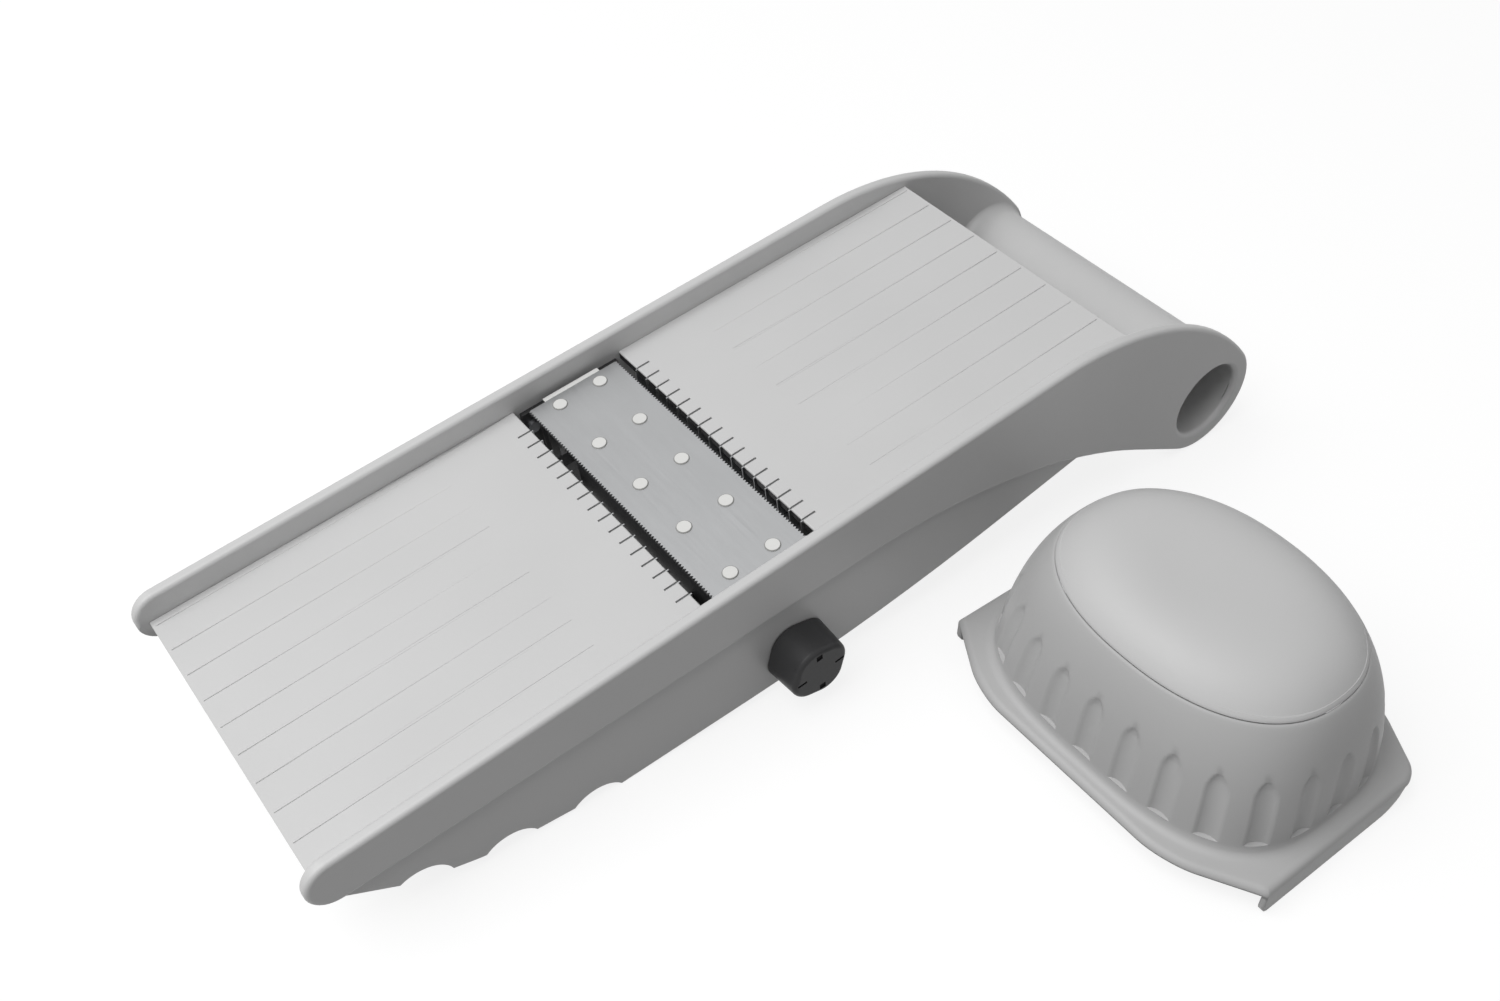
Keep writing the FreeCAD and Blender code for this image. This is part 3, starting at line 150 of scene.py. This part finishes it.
def groundMetal(name, look):
    material, tree, shader, place = startMaterial(name)
    stretch = [1 / (size * mm) for size in look["lineMm"]]
    turned = addNode(tree, "ShaderNodeMapping", {"Vector": place, "Scale": stretch})
    lines = addNode(tree, "ShaderNodeTexNoise", {
        "Vector": turned.outputs["Vector"], "Scale": 1.0, "Detail": metalSkin["lineDetail"],
        "Roughness": metalSkin["lineBreak"]})
    stain = addNode(tree, "ShaderNodeTexNoise", {
        "Vector": place, "Scale": 1 / (look["stainMm"] * mm), "Detail": metalSkin["stainDetail"]})
    addSkin(tree, shader, look, stain, lines, metalSkin["depthMm"])
    shader.inputs["Metallic"].default_value = 1.0
    return material


# light grey ABS of the slicer: even satin grey, soft highlights on every rounded edge
# its spark texture is about 0.2 mm, drawn at 0.9 mm so that it shows
absSatin = mouldedPlastic("absSatinGrey", {
    "tone": "#cbcbcb", "shade": "#c4c4c4", "cloudMm": 45.0, "grainMm": 0.9, "roughLow": 0.40,
    "roughHigh": 0.50, "relief": 0.10, "ior": 1.54})
# the guard's shell is the slicer's grey plastic drawn a shade darker: painted shade for the dimmer light on
# the guard
guardShellPaintedShade = mouldedPlastic("guardShellPaintedShadeGrey", {
    "tone": "#b8b8b8", "shade": "#b2b2b2", "cloudMm": 45.0, "grainMm": 0.9, "roughLow": 0.40,
    "roughHigh": 0.50, "relief": 0.10, "ior": 1.54, "sheen": 0.24})
# the guard's cap is blasted a little coarser, so it reads matte beside the shell
absBlasted = mouldedPlastic("absBlastedGrey", {
    "tone": "#c6c6c6", "shade": "#bfbfbf", "cloudMm": 40.0, "grainMm": 1.1, "roughLow": 0.52,
    "roughHigh": 0.62, "relief": 0.22, "ior": 1.54})
# off-white acetal of the carrier's tab, the stakes and the prong plate: paler and waxier than the ABS
acetalWhite = mouldedPlastic("acetalWhite", {
    "tone": "#dededc", "shade": "#d4d4d2", "cloudMm": 12.0, "grainMm": 0.7, "roughLow": 0.36,
    "roughHigh": 0.46, "relief": 0.06, "ior": 1.48})
# the same acetal at the rim of each stake, given a darker tone: painted shade for the thin crevice round
# each head
stakeRingPaintedShade = mouldedPlastic("stakeRingPaintedShade", {
    "tone": "#8f8f8d", "shade": "#838381", "cloudMm": 4.0, "grainMm": 0.5, "roughLow": 0.45,
    "roughHigh": 0.6, "relief": 0.15, "ior": 1.48})
# black nylon of carrier, guides, bushes, cams and comb frame, with a dull sheen; also painted shade on deck
# gap faces
nylonBlackAndGapShade = mouldedPlastic("nylonBlackAndGapShade", {
    "tone": "#272728", "shade": "#1d1d1e", "cloudMm": 10.0, "grainMm": 0.8, "roughLow": 0.42,
    "roughHigh": 0.58, "relief": 0.18, "ior": 1.53})
# dark grey ABS of the knob: satin charcoal that still shows its form
knobCharcoal = mouldedPlastic("absCharcoal", {
    "tone": "#414142", "shade": "#3a3a3b", "cloudMm": 9.0, "grainMm": 0.6, "roughLow": 0.34,
    "roughHigh": 0.44, "relief": 0.12, "ior": 1.54, "sheen": 0.14})
# black paint in the knob's marks: darker than anything round it, so that the marks read at once
paintBlack = mouldedPlastic("paintBlack", {
    "tone": "#0c0c0d", "shade": "#080809", "cloudMm": 5.0, "grainMm": 0.5, "roughLow": 0.6,
    "roughHigh": 0.75, "relief": 0.10, "ior": 1.50, "sheen": 0.1})
# black rubber of the feet: no shine at all
rubberBlack = mouldedPlastic("rubberBlack", {
    "tone": "#2a2a2a", "shade": "#202020", "cloudMm": 5.0, "grainMm": 0.5, "roughLow": 0.75,
    "roughHigh": 0.9, "relief": 0.25, "ior": 1.52})
# ground stainless of the plate and combs: pale grey with lines along the cutting edge
# the real lines are about 0.1 mm apart, drawn at 0.5 mm so that they show
stainlessGround = groundMetal("stainlessGround", {
    "tone": "#a9aaab", "shade": "#a0a1a2", "stainMm": 30.0, "lineMm": (0.5, 26.0, 0.5), "roughLow": 0.34,
    "roughHigh": 0.50, "relief": 0.12})
# zinc-plated steel of the screws, shaft and small springs: slightly bluish, fine mottle
zincSteel = groundMetal("zincPlatedSteel", {
    "tone": "#b9bbbe", "shade": "#a4a6aa", "stainMm": 3.0, "lineMm": (0.8, 0.8, 0.8), "roughLow": 0.28,
    "roughHigh": 0.42, "relief": 0.10})
print("materials made")

slotFinish = {
    "body_plastic": absSatin, "light_plastic": acetalWhite, "dark_plastic": nylonBlackAndGapShade,
    "knob_plastic": knobCharcoal, "rubber": rubberBlack, "steel": zincSteel, "blade_steel": stainlessGround}
nodeSlot = {part["node"]: part["material_slot"] for part in frame["record"]["subparts"]}
for name, node in nodes.items():
    node.data.materials.clear()
    node.data.materials.append(slotFinish[nodeSlot[name]])


# where the slicer stands: its deck slopes, and the pieces below are shaped in millimetres along that slope
slicerStance = {"slope": 7.173637, "shiftMm": (-182.5952, 71.8, 32.18214)}
slicerPlace = (Matrix.Translation(Vector(slicerStance["shiftMm"]) * mm)
               @ Matrix.Rotation(-math.radians(slicerStance["slope"]), 4, "Y") @ Matrix.Scale(mm, 4))
copyLook = {"mergeMm": 0.002, "flatWithin": 0.4, "sharpFrom": 38.0, "shadeFrom": 40}


def mergedCopy(node):
    mesh = bmesh.new()
    mesh.from_mesh(nodes[node].data)
    bmesh.ops.remove_doubles(mesh, verts=mesh.verts, dist=copyLook["mergeMm"] * mm)
    bmesh.ops.transform(mesh, matrix=slicerPlace.inverted(), verts=mesh.verts)
    bmesh.ops.dissolve_limit(mesh, angle_limit=math.radians(copyLook["flatWithin"]), verts=mesh.verts,
                             edges=mesh.edges)
    return mesh


def breakEdges(mesh, edges, size, steps):
    bmesh.ops.bevel(mesh, geom=edges, offset=size, offset_type="OFFSET", affect="EDGES", segments=steps,
                    profile=0.5, material=-1, clamp_overlap=False)


def sharpEdges(mesh, angle=copyLook["sharpFrom"]):
    return [e for e in mesh.edges if e.is_manifold and e.calc_face_angle() > math.radians(angle)]


def setDown(mesh, name, body, node, material, *extra):
    bmesh.ops.transform(mesh, matrix=slicerPlace, verts=mesh.verts)
    piece = finishMesh(mesh, name, material, copyLook["shadeFrom"])
    for other in extra:
        piece.data.materials.append(other)
    level = piece.modifiers.new("evenShading", "WEIGHTED_NORMAL")
    level.keep_sharp = True
    placePiece(piece, body, nodeSlot[node], node)
    print(name, len(piece.data.polygons), "faces")


# side panels: the solid has the outer roundings, and the inner rim of rail, nose and lobe is rounded here
panelLook = {
    "innerFace": 56.4, "faceSlack": 0.01, "rimRound": 1.5, "rimSteps": 5, "lobe": (343.5, -54.0),
    "lobeRadius": 21.5, "lobeSlack": 0.1, "lobeClear": 19.5, "railAbove": 0.2, "sweepFrom": 215.0,
    "sweepLean": 0.05}


def dressPanel(node, name, look):
    mesh = mergedCopy(node)
    lobe = Vector(look["lobe"])
    rim = []
    for edge in sharpEdges(mesh):
        if any(abs(abs(v.co.y) - look["innerFace"]) > look["faceSlack"] for v in edge.verts):
            continue
        spot = (edge.verts[0].co + edge.verts[1].co) / 2
        fromLobe = (spot.xz - lobe).length
        outerFace = max(edge.link_faces, key=lambda face: abs(face.normal.x) + abs(face.normal.z))
        onRail = spot.z > look["railAbove"]
        onSweep = (spot.x > look["sweepFrom"] and outerFace.normal.z > look["sweepLean"]
                   and fromLobe > look["lobeClear"])
        onLobe = abs(fromLobe - look["lobeRadius"]) < look["lobeSlack"]
        if onRail or onSweep or onLobe:
            rim.append(edge)
    breakEdges(mesh, rim, look["rimRound"], look["rimSteps"])
    setDown(mesh, name, "slicer_frame", node, absSatin)


dressPanel("near_side_panel", "nearSidePanel", panelLook)
dressPanel("far_side_panel", "farSidePanel", panelLook)

# decks: soft low ribs, a rounded edge along the gap, and painted shade in black on the end face below that
# edge
deckLook = {
    "ribKeep": 0.6, "ribAbove": 0.02, "ribTopAbove": 0.1, "ribLonger": 20, "ribSharp": 60, "ribRound": 0.2,
    "edgeRound": 0.5, "edgeSlack": 0.05, "topSlack": 0.01, "upright": 0.9, "gapShadeDrop": 0.7,
    "cutSlack": 0.001, "steps": 3}


def dressDeck(node, name, gapEdge, look):
    mesh = mergedCopy(node)
    for vert in mesh.verts:
        if vert.co.z > look["ribAbove"]:
            vert.co.z *= look["ribKeep"]

    def onGap(face):
        return (abs(face.calc_center_median().x - gapEdge) < look["edgeSlack"]
                and abs(face.normal.x) > look["upright"])

    endFaces = [f for f in mesh.faces if onGap(f)]
    around = {v for f in endFaces for v in f.verts}
    lines = {e for f in endFaces for e in f.edges}
    bmesh.ops.bisect_plane(mesh, geom=endFaces + list(lines) + list(around),
                           plane_co=(0, 0, -look["gapShadeDrop"]), plane_no=(0, 0, 1), dist=look["cutSlack"])
    # painted shade: below the rounded edge the gap-side end face is black, for the gap's shade and the comb
    # frame in it
    for face in mesh.faces:
        if onGap(face) and face.calc_center_median().z < -look["gapShadeDrop"]:
            face.material_index = 1
    gapLip = [e for e in sharpEdges(mesh)
              if all(abs(v.co.x - gapEdge) < look["edgeSlack"] and abs(v.co.z) < look["topSlack"]
                     for v in e.verts)]
    breakEdges(mesh, gapLip, look["edgeRound"], look["steps"])
    ribTop = [e for e in sharpEdges(mesh, look["ribSharp"])
              if max(v.co.z for v in e.verts) > look["ribTopAbove"]
              and abs(e.verts[0].co.x - e.verts[1].co.x) > look["ribLonger"]]
    breakEdges(mesh, ribTop, look["ribRound"], look["steps"])
    setDown(mesh, name, "slicer_frame", node, absSatin, nylonBlackAndGapShade)


dressDeck("infeed_deck", "infeedDeck", 131.05, deckLook)
dressDeck("outfeed_deck", "outfeedDeck", 173.75, deckLook)

# blade carrier: black, with the pale tab that shows at the far end of the plate
carrierLook = {"edge": 0.25, "steps": 2, "tabFrom": 50.5, "tabAbove": -2.6}


def dressCarrier(look):
    mesh = mergedCopy("blade_carrier")
    breakEdges(mesh, sharpEdges(mesh), look["edge"], look["steps"])
    for face in mesh.faces:
        middle = face.calc_center_median()
        if middle.y > look["tabFrom"] and middle.z > look["tabAbove"]:
            face.material_index = 1
    setDown(mesh, "bladeCarrier", "blade_carriage", "blade_carrier", nylonBlackAndGapShade, acetalWhite)


dressCarrier(carrierLook)

# smaller mouldings keep their solids' shapes and only lose their sharp edges
brokenEdges = {
    "near_lift_guide": {"name": "nearLiftGuide", "body": "slicer_frame", "breakMm": 0.2, "steps": 2},
    "far_lift_guide": {"name": "farLiftGuide", "body": "slicer_frame", "breakMm": 0.2, "steps": 2},
    "front_feet": {"name": "frontFeet", "body": "slicer_frame", "breakMm": 0.2, "steps": 2},
    "comb_lift_frame": {"name": "combLiftFrame", "body": "comb_carriage", "breakMm": 0.3, "steps": 2},
}
for node, look in brokenEdges.items():
    mesh = mergedCopy(node)
    breakEdges(mesh, sharpEdges(mesh), look["breakMm"], look["steps"])
    setDown(mesh, look["name"], look["body"], node, slotFinish[nodeSlot[node]])


# stakes: flat pale heads, each inside a thin dark ring of painted shade
stakeLook = {"ring": 0.32, "steps": 2, "headFrom": 1.02, "facingUp": 0.9, "level": 0.99}


def dressStakes(look):
    mesh = mergedCopy("plate_stakes")
    heads = [f for f in mesh.faces
             if f.normal.z > look["facingUp"] and f.calc_center_median().z > look["headFrom"]]
    breakEdges(mesh, list({e for f in heads for e in f.edges}), look["ring"], look["steps"])
    # the sloping rim faces of each head take the darker acetal: painted shade of the crevice round the stake
    for face in mesh.faces:
        if face.calc_center_median().z > look["headFrom"] and face.normal.z < look["level"]:
            face.material_index = 1
    setDown(mesh, "plateStakes", "blade_carriage", "plate_stakes", acetalWhite, stakeRingPaintedShade)


dressStakes(stakeLook)

# knob: charcoal, with its four sunk marks filled in black
knobLook = {"markFloor": -71.9, "floorSlack": 0.05, "facingOut": -0.99, "edge": 0.1, "steps": 2}


def dressKnob(look):
    mesh = mergedCopy("adjuster_knob")
    floors = [f for f in mesh.faces if f.normal.y < look["facingOut"]
              and abs(f.calc_center_median().y - look["markFloor"]) < look["floorSlack"]]
    for floor in floors:
        for edge in floor.edges:
            for face in edge.link_faces:
                face.material_index = 1
    print("knob marks", len(floors))
    breakEdges(mesh, sharpEdges(mesh), look["edge"], look["steps"])
    setDown(mesh, "adjusterKnob", "adjuster", "adjuster_knob", knobCharcoal, paintBlack)


dressKnob(knobLook)

# handle: an open tube that flares softly into both lobes
handleTube = {
    "axisMm": (164.9535, 71.8, 21.5), "halfLength": 58.4, "wallAt": 56.4, "outer": 18.5, "bore": 14.5,
    "flare": 4.5, "flareReach": 2.3, "flareSteps": 7, "around": 96, "mergeMm": 0.001}


def makeHandle(look):
    mesh = bmesh.new()
    steps = look["flareSteps"]
    profile = [(look["bore"], -look["halfLength"]), (look["outer"], -look["halfLength"])]
    for step in range(steps + 1):
        turn = math.pi / 2 * step / steps
        reach = look["flareReach"] * (1 - math.sin(turn))
        along = -look["wallAt"] + look["flare"] * (1 - math.cos(turn))
        profile.append((look["outer"] + reach, along))
    profile += [(radius, -along) for radius, along in reversed(profile)]
    centre = Vector(look["axisMm"]) * mm
    verts = [mesh.verts.new(centre + Vector((radius * mm, along * mm, 0))) for radius, along in profile]
    edges = [mesh.edges.new((verts[at], verts[(at + 1) % len(verts)])) for at in range(len(verts))]
    bmesh.ops.spin(mesh, geom=verts + edges, cent=centre, axis=(0, 1, 0), angle=math.tau,
                   steps=look["around"], use_merge=True, use_duplicate=False)
    bmesh.ops.remove_doubles(mesh, verts=mesh.verts, dist=look["mergeMm"] * mm)
    bmesh.ops.recalc_face_normals(mesh, faces=mesh.faces)
    piece = finishMesh(mesh, "handleTube", absSatin)
    placePiece(piece, "slicer_frame", "body_plastic", "handle_tube")


makeHandle(handleTube)
print("handle made")


# hand guard: one moulded sheet from the seam down the fluted wall, over the flange and into the two lips
guardForm = {
    "centreMm": (63.405, -69.2, 0.0), "depth": 87.0, "width": 115.6, "base": 11.0, "top": 65.0, "bend": 2.2,
    "flatness": 5.0, "square": 3.0, "squareTop": 2.1, "seam": 54.0, "seamGap": 0.2, "wall": 1.9,
    "around": 480, "finer": 20, "boss": 3.4, "bossSpan": (32.5, 62.3),
    "bossSpots": ((-15, -27), (-15, 27), (15, -27), (15, 27)), "bossAround": 32, "shadeFrom": 60}
guardFlutes = {
    "count": 24, "depth": 1.25, "halfWidth": 3.5, "low": 15.2, "high": 39.0, "arch": 8.0, "archBlunt": 0.6,
    "hollowBlunt": 0.75, "archDeep": 1.25}
guardFlange = {
    "half": 63.4, "lip": 33.5, "deep": 48.5, "straight": 38.0, "round": 35.0, "edgeRound": 2.4,
    "rootRound": 2.6, "lipCorner": 3.0, "softCorner": 9.0, "softLip": 8.4, "bendSteps": 10, "pastLip": 1.0,
    "nearSide": 4.0, "nearCorner": 0.5, "edgeSlack": 0.01}
# rings that the guard is drawn through: those beside the seam have a distance from it and an inset, and the
# others crowd together where the wall bends
guardRings = {
    "seamEdge": ((0.0, 0.5), (0.1, 0.22), (0.35, 0.06)), "underSeam": 0.8, "plain": (52, 50, 48, 46, 44, 42),
    "archStep": 0.5, "archCount": 17, "wallStep": 1.5, "wallCount": 9,
    "sill": (0.9, 0.45, 0.2, 0.0, -0.12, -0.4), "rootSteps": 5, "edgeSteps": 6,
    "lipDrops": (0.35, 0.65, 0.82, 0.92, 0.98, 1.0), "overSeam": 0.9, "capCount": 34, "capCrowd": 1.15}


def ovalReach(angle, square):
    return (abs(math.cos(angle)) ** square + abs(math.sin(angle)) ** square) ** (-1 / square)


def domeSpot(form, angle, height, inset=0.0):
    share = min(max((height - form["base"]) / (form["top"] - form["base"]), 0.0), 1.0)
    scale = (1 - share ** form["bend"]) ** (1 / form["flatness"])
    square = form["square"] - (form["square"] - form["squareTop"]) * share
    reach = ovalReach(angle, square)
    return Vector(((form["depth"] / 2 * scale - inset) * reach * math.cos(angle),
                   (form["width"] / 2 * scale - inset) * reach * math.sin(angle), height))


def evenAngles(form):
    # angles that step evenly along the foot of the dome, so that the flutes are evenly spaced
    fine = form["finer"] * form["around"]
    spots = [domeSpot(form, math.tau * at / fine, form["base"]) for at in range(fine + 1)]
    run = [0.0]
    for at in range(fine):
        run.append(run[-1] + (spots[at + 1] - spots[at]).length)
    angles = []
    at = 0
    for step in range(form["around"]):
        wanted = run[-1] * step / form["around"]
        while run[at + 1] < wanted:
            at += 1
        angles.append(math.tau * (at + (wanted - run[at]) / (run[at + 1] - run[at])) / fine)
    return angles, run[-1]


def extrudeRing(mesh, ring):
    held = set(ring)
    edges = {e for v in ring for e in v.link_edges if e.verts[0] in held and e.verts[1] in held}
    made = bmesh.ops.extrude_edge_only(mesh, edges=list(edges))["geom"]
    fresh = {part for part in made if isinstance(part, bmesh.types.BMVert)}
    return [next(e.other_vert(v) for e in v.link_edges if e.other_vert(v) in fresh) for v in ring]


def fluteDepth(flutes, girth, step, around, height):
    if not flutes["low"] <= height <= flutes["high"]:
        return 0.0
    pitch = girth / flutes["count"]
    along = girth * step / around / pitch
    aside = abs(along - round(along)) * pitch
    intoArch = max(1 - (flutes["high"] - height) / flutes["arch"], 0.0)
    width = flutes["halfWidth"] * (1 - intoArch ** 2) ** flutes["archBlunt"]
    if aside >= width:
        return 0.0
    hollow = 1 - (aside / width) ** 2
    deep = min(1.0, flutes["archDeep"] * width / flutes["halfWidth"])
    return flutes["depth"] * hollow ** flutes["hollowBlunt"] * deep


def flangeOutline(flange, inset):
    # the flange's edge moved inwards by inset; the corners towards the handle are well rounded
    half, lip, deep, straight = (flange[key] for key in ("half", "lip", "deep", "straight"))
    corners = [(lip, half), (-lip, half), (-deep, straight), (-deep, -straight), (-lip, -half), (lip, -half),
               (deep, -straight), (deep, straight)]
    corners = [Vector(corner) for corner in corners]
    ways = [(corners[at] - corners[at - 1]).normalized() for at in range(len(corners))]
    outward = [Vector((way.y, -way.x)) for way in ways]
    outline = bmesh.new()
    for at, corner in enumerate(corners):
        after = outward[(at + 1) % len(corners)]
        moved = corner - (outward[at] + after) * (inset / (1 + outward[at].dot(after)))
        outline.verts.new((moved.x, moved.y, 0))
    outline.faces.new(outline.verts)
    past, near = lip + flange["pastLip"], half - flange["nearSide"]
    blunt = (lambda v: abs(v.co.x) > past, flange["round"] - inset)
    soft = (lambda v: 0 < v.co.x < past and abs(v.co.y) > near, flange["softCorner"] - inset)
    for pick, radius in (blunt, soft):
        bends = [v for v in outline.verts if pick(v)]
        first, second = (e.other_vert(bends[0]).co - bends[0].co for e in bends[0].link_edges)
        reach = radius / math.tan(first.angle(second) / 2)
        bmesh.ops.bevel(outline, geom=bends, offset=reach, affect="VERTICES", segments=flange["bendSteps"],
                        profile=0.5, material=-1)
    outline.faces.ensure_lookup_table()
    spots = [v.co.xy.copy() for v in outline.faces[0].verts]
    outline.free()
    sharp = [spot for spot in spots if spot.x < 0 and abs(spot.y) > half - inset - flange["nearCorner"]]
    return spots, sharp


def onOutline(outline, way):
    farOut = way.xy * 3
    for at in range(len(outline)):
        hit = geometry.intersect_line_line_2d(Vector((0, 0)), farOut, outline[at - 1], outline[at])
        if hit:
            return hit
    return way.xy


def finishGuard(mesh, form, name, node, material):
    bmesh.ops.recalc_face_normals(mesh, faces=mesh.faces)
    crown = max(mesh.faces, key=lambda face: face.calc_center_median().z)
    if crown.normal.dot(crown.calc_center_median()) < 0:
        bmesh.ops.reverse_faces(mesh, faces=mesh.faces)
    stand = Matrix.Translation(Vector(form["centreMm"]) * mm) @ Matrix.Scale(mm, 4)
    bmesh.ops.transform(mesh, matrix=stand, verts=mesh.verts)
    piece = finishMesh(mesh, name, material, form["shadeFrom"])
    wall = piece.modifiers.new("wall", "SOLIDIFY")
    wall.thickness = form["wall"] * mm
    wall.offset = -1.0
    placePiece(piece, "hand_guard", "body_plastic", node)
    print(name, len(piece.data.polygons), "faces")


def makeGuardShell(form, flutes, flange, rings):
    angles, girth = evenAngles(form)
    around = form["around"]
    mesh = bmesh.new()
    ring = bmesh.ops.create_circle(mesh, segments=around, radius=1.0)["verts"]
    seam = form["seam"]
    springing = flutes["high"] - flutes["arch"]
    straight = [seam - rings["underSeam"], *rings["plain"]]
    straight += [flutes["high"] - rings["archStep"] * step for step in range(rings["archCount"])]
    straight += [springing - rings["wallStep"] * step for step in range(1, rings["wallCount"] + 1)]
    straight += [flutes["low"] + rise for rise in rings["sill"]]
    heights = [(seam - drop, inset) for drop, inset in rings["seamEdge"]]
    heights += [(height, 0.0) for height in straight]
    root = flange["rootRound"]
    for step in range(1, rings["rootSteps"] + 1):
        turn = math.pi / 2 * step / rings["rootSteps"]
        heights.append((form["base"] + root * (1 - math.sin(turn)), -root * (1 - math.cos(turn))))
    for count, (height, inset) in enumerate(heights):
        if count:
            ring = extrudeRing(mesh, ring)
        for step, vert in enumerate(ring):
            cut = fluteDepth(flutes, girth, step, around, height)
            vert.co = domeSpot(form, angles[step], height, inset + cut)
    ways = [vert.co.copy() for vert in ring]
    edgeRound = flange["edgeRound"]
    held = None
    for step in range(rings["edgeSteps"] + 1):
        turn = math.pi / 2 * step / rings["edgeSteps"]
        outline, sharp = flangeOutline(flange, edgeRound * (1 - math.sin(turn)))
        rim = [onOutline(outline, way) for way in ways]
        if held is None:
            held = [min(range(around), key=lambda at: (rim[at] - corner).length) for corner in sharp]
        for at, corner in zip(held, sharp):
            rim[at] = corner
        height = form["base"] - edgeRound * (1 - math.cos(turn))
        ring = extrudeRing(mesh, ring)
        for at, vert in enumerate(ring):
            vert.co = (rim[at].x, rim[at].y, height)
    for side in (-1, 1):
        lip = [v for v in ring if v.co.y * side > flange["half"] - flange["edgeSlack"]]
        start = min(v.co.x for v in lip)
        end = max(v.co.x for v in lip)
        ends = ((start, flange["lipCorner"]), (end, flange["softLip"]))
        feet = []
        for vert in lip:
            foot = 0.0
            for place, radius in ends:
                away = abs(vert.co.x - place)
                if away < radius:
                    foot = max(foot, radius - math.sqrt(radius ** 2 - (radius - away) ** 2))
            feet.append(foot)
        for drop in rings["lipDrops"]:
            lip = extrudeRing(mesh, lip)
            for vert, foot in zip(lip, feet):
                vert.co.z = height + (foot - height) * drop
    finishGuard(mesh, form, "guardShell", "guard_shell", guardShellPaintedShade)


def makeGuardCap(form, rings):
    angles = evenAngles(form)[0]
    mesh = bmesh.new()
    ring = bmesh.ops.create_circle(mesh, segments=form["around"], radius=1.0)["verts"]
    low = form["seam"] + form["seamGap"]
    span = form["top"] - form["base"]
    seamShare = (low + rings["overSeam"] - form["base"]) / span
    start = (1 - seamShare ** form["bend"]) ** (1 / form["flatness"])
    heights = [(low + rise, inset) for rise, inset in rings["seamEdge"]]
    for step in range(rings["capCount"]):
        scale = start * (1 - (step / rings["capCount"]) ** rings["capCrowd"])
        share = (1 - scale ** form["flatness"]) ** (1 / form["bend"])
        heights.append((form["base"] + span * share, 0.0))
    for count, (height, inset) in enumerate(heights):
        if count:
            ring = extrudeRing(mesh, ring)
        for step, vert in enumerate(ring):
            vert.co = domeSpot(form, angles[step], height, inset)
    middle = mesh.faces.new(ring)
    bmesh.ops.poke(mesh, faces=[middle])
    bossLow, bossTop = form["bossSpan"]
    for x, y in form["bossSpots"]:
        spot = Matrix.Translation((x, y, (bossLow + bossTop) / 2))
        bmesh.ops.create_cone(mesh, segments=form["bossAround"], radius1=form["boss"], radius2=form["boss"],
                              depth=bossTop - bossLow, cap_ends=True, matrix=spot)
    finishGuard(mesh, form, "guardCap", "guard_cap", absBlasted)


makeGuardShell(guardForm, guardFlutes, guardFlange, guardRings)
makeGuardCap(guardForm, guardRings)


# 1 for rays that the eye follows, straight, mirrored or through something clear, 0 for light that bounces on
def seenRays(tree):
    rays = addNode(tree, "ShaderNodeLightPath").outputs
    seen = rays["Is Camera Ray"]
    for kind in ("Is Glossy Ray", "Is Transmission Ray"):
        seen = addNode(tree, "ShaderNodeMath", {0: seen, 1: rays[kind]}, operation="MAXIMUM").outputs[0]
    return seen


# floor: a grey sheet lifted to white for the camera, which still takes the shadow
floorLook = {"size": 6.0, "paper": "#7a7a7a", "lift": 0.84, "belowMm": 0.3, "squares": 8}


def makeFloor(look):
    mesh = bmesh.new()
    bmesh.ops.create_grid(mesh, x_segments=look["squares"], y_segments=look["squares"],
                          size=look["size"] / 2)
    bmesh.ops.translate(mesh, vec=(0, 0, cadBox[0][2] - look["belowMm"] * mm), verts=mesh.verts)
    material, tree, shader = startMaterial("paperWhite")[:3]
    shader.inputs["Base Color"].default_value = srgb(look["paper"])
    shader.inputs["Roughness"].default_value = 1.0
    shader.inputs["Specular IOR Level"].default_value = 0.0
    lift = addNode(tree, "ShaderNodeMath", {0: seenRays(tree), 1: look["lift"]}, operation="MULTIPLY")
    shader.inputs["Emission Color"].default_value = (1, 1, 1, 1)
    tree.links.new(lift.outputs[0], shader.inputs["Emission Strength"])
    floor = finishMesh(mesh, "floor", material)


makeFloor(floorLook)

# light: a broad soft box high on the camera's left, and an even white room
lightLook = {"boxPower": 20.5, "boxSize": 1.35, "boxPlace": (-0.76, 0.20, 1.30), "aim": (0.0, 0.0, 0.04),
             "room": 0.30, "seenRoom": 1.0}


def makeLight(look):
    lamp = bpy.data.lights.new("softBox", "AREA")
    lamp.shape = "SQUARE"
    lamp.size = look["boxSize"]
    lamp.energy = look["boxPower"]
    box = bpy.data.objects.new("softBox", lamp)
    box.location = look["boxPlace"]
    way = Vector(look["aim"]) - Vector(look["boxPlace"])
    box.rotation_euler = way.to_track_quat("-Z", "Y").to_euler()
    scene.collection.objects.link(box)
    world = bpy.data.worlds.new("whiteRoom")
    world.use_nodes = True
    tree = world.node_tree
    tree.nodes.clear()
    level = addNode(tree, "ShaderNodeMapRange", {
        "Value": seenRays(tree), "To Min": look["room"], "To Max": look["seenRoom"]})
    room = addNode(tree, "ShaderNodeBackground", {
        "Color": (1, 1, 1, 1), "Strength": level.outputs["Result"]})
    addNode(tree, "ShaderNodeOutputWorld", {"Surface": room.outputs["Background"]})
    scene.world = world


makeLight(lightLook)
scene.view_settings.view_transform = "Standard"

# camera: where the photograph was taken from
cameraLook = {"place": (-0.22227, -0.22880, 0.38882), "turn": (45.4297, 0.0114, -36.9352), "lens": 37.13,
              "sensor": 36.0, "near": 0.01}
lens = bpy.data.cameras.new("photoCamera")
lens.sensor_width = cameraLook["sensor"]
lens.lens = cameraLook["lens"]
lens.clip_start = cameraLook["near"]
camera = bpy.data.objects.new("photoCamera", lens)
camera.location = cameraLook["place"]
camera.rotation_euler = [math.radians(turn) for turn in cameraLook["turn"]]
scene.collection.objects.link(camera)
scene.camera = camera
print("stage set")
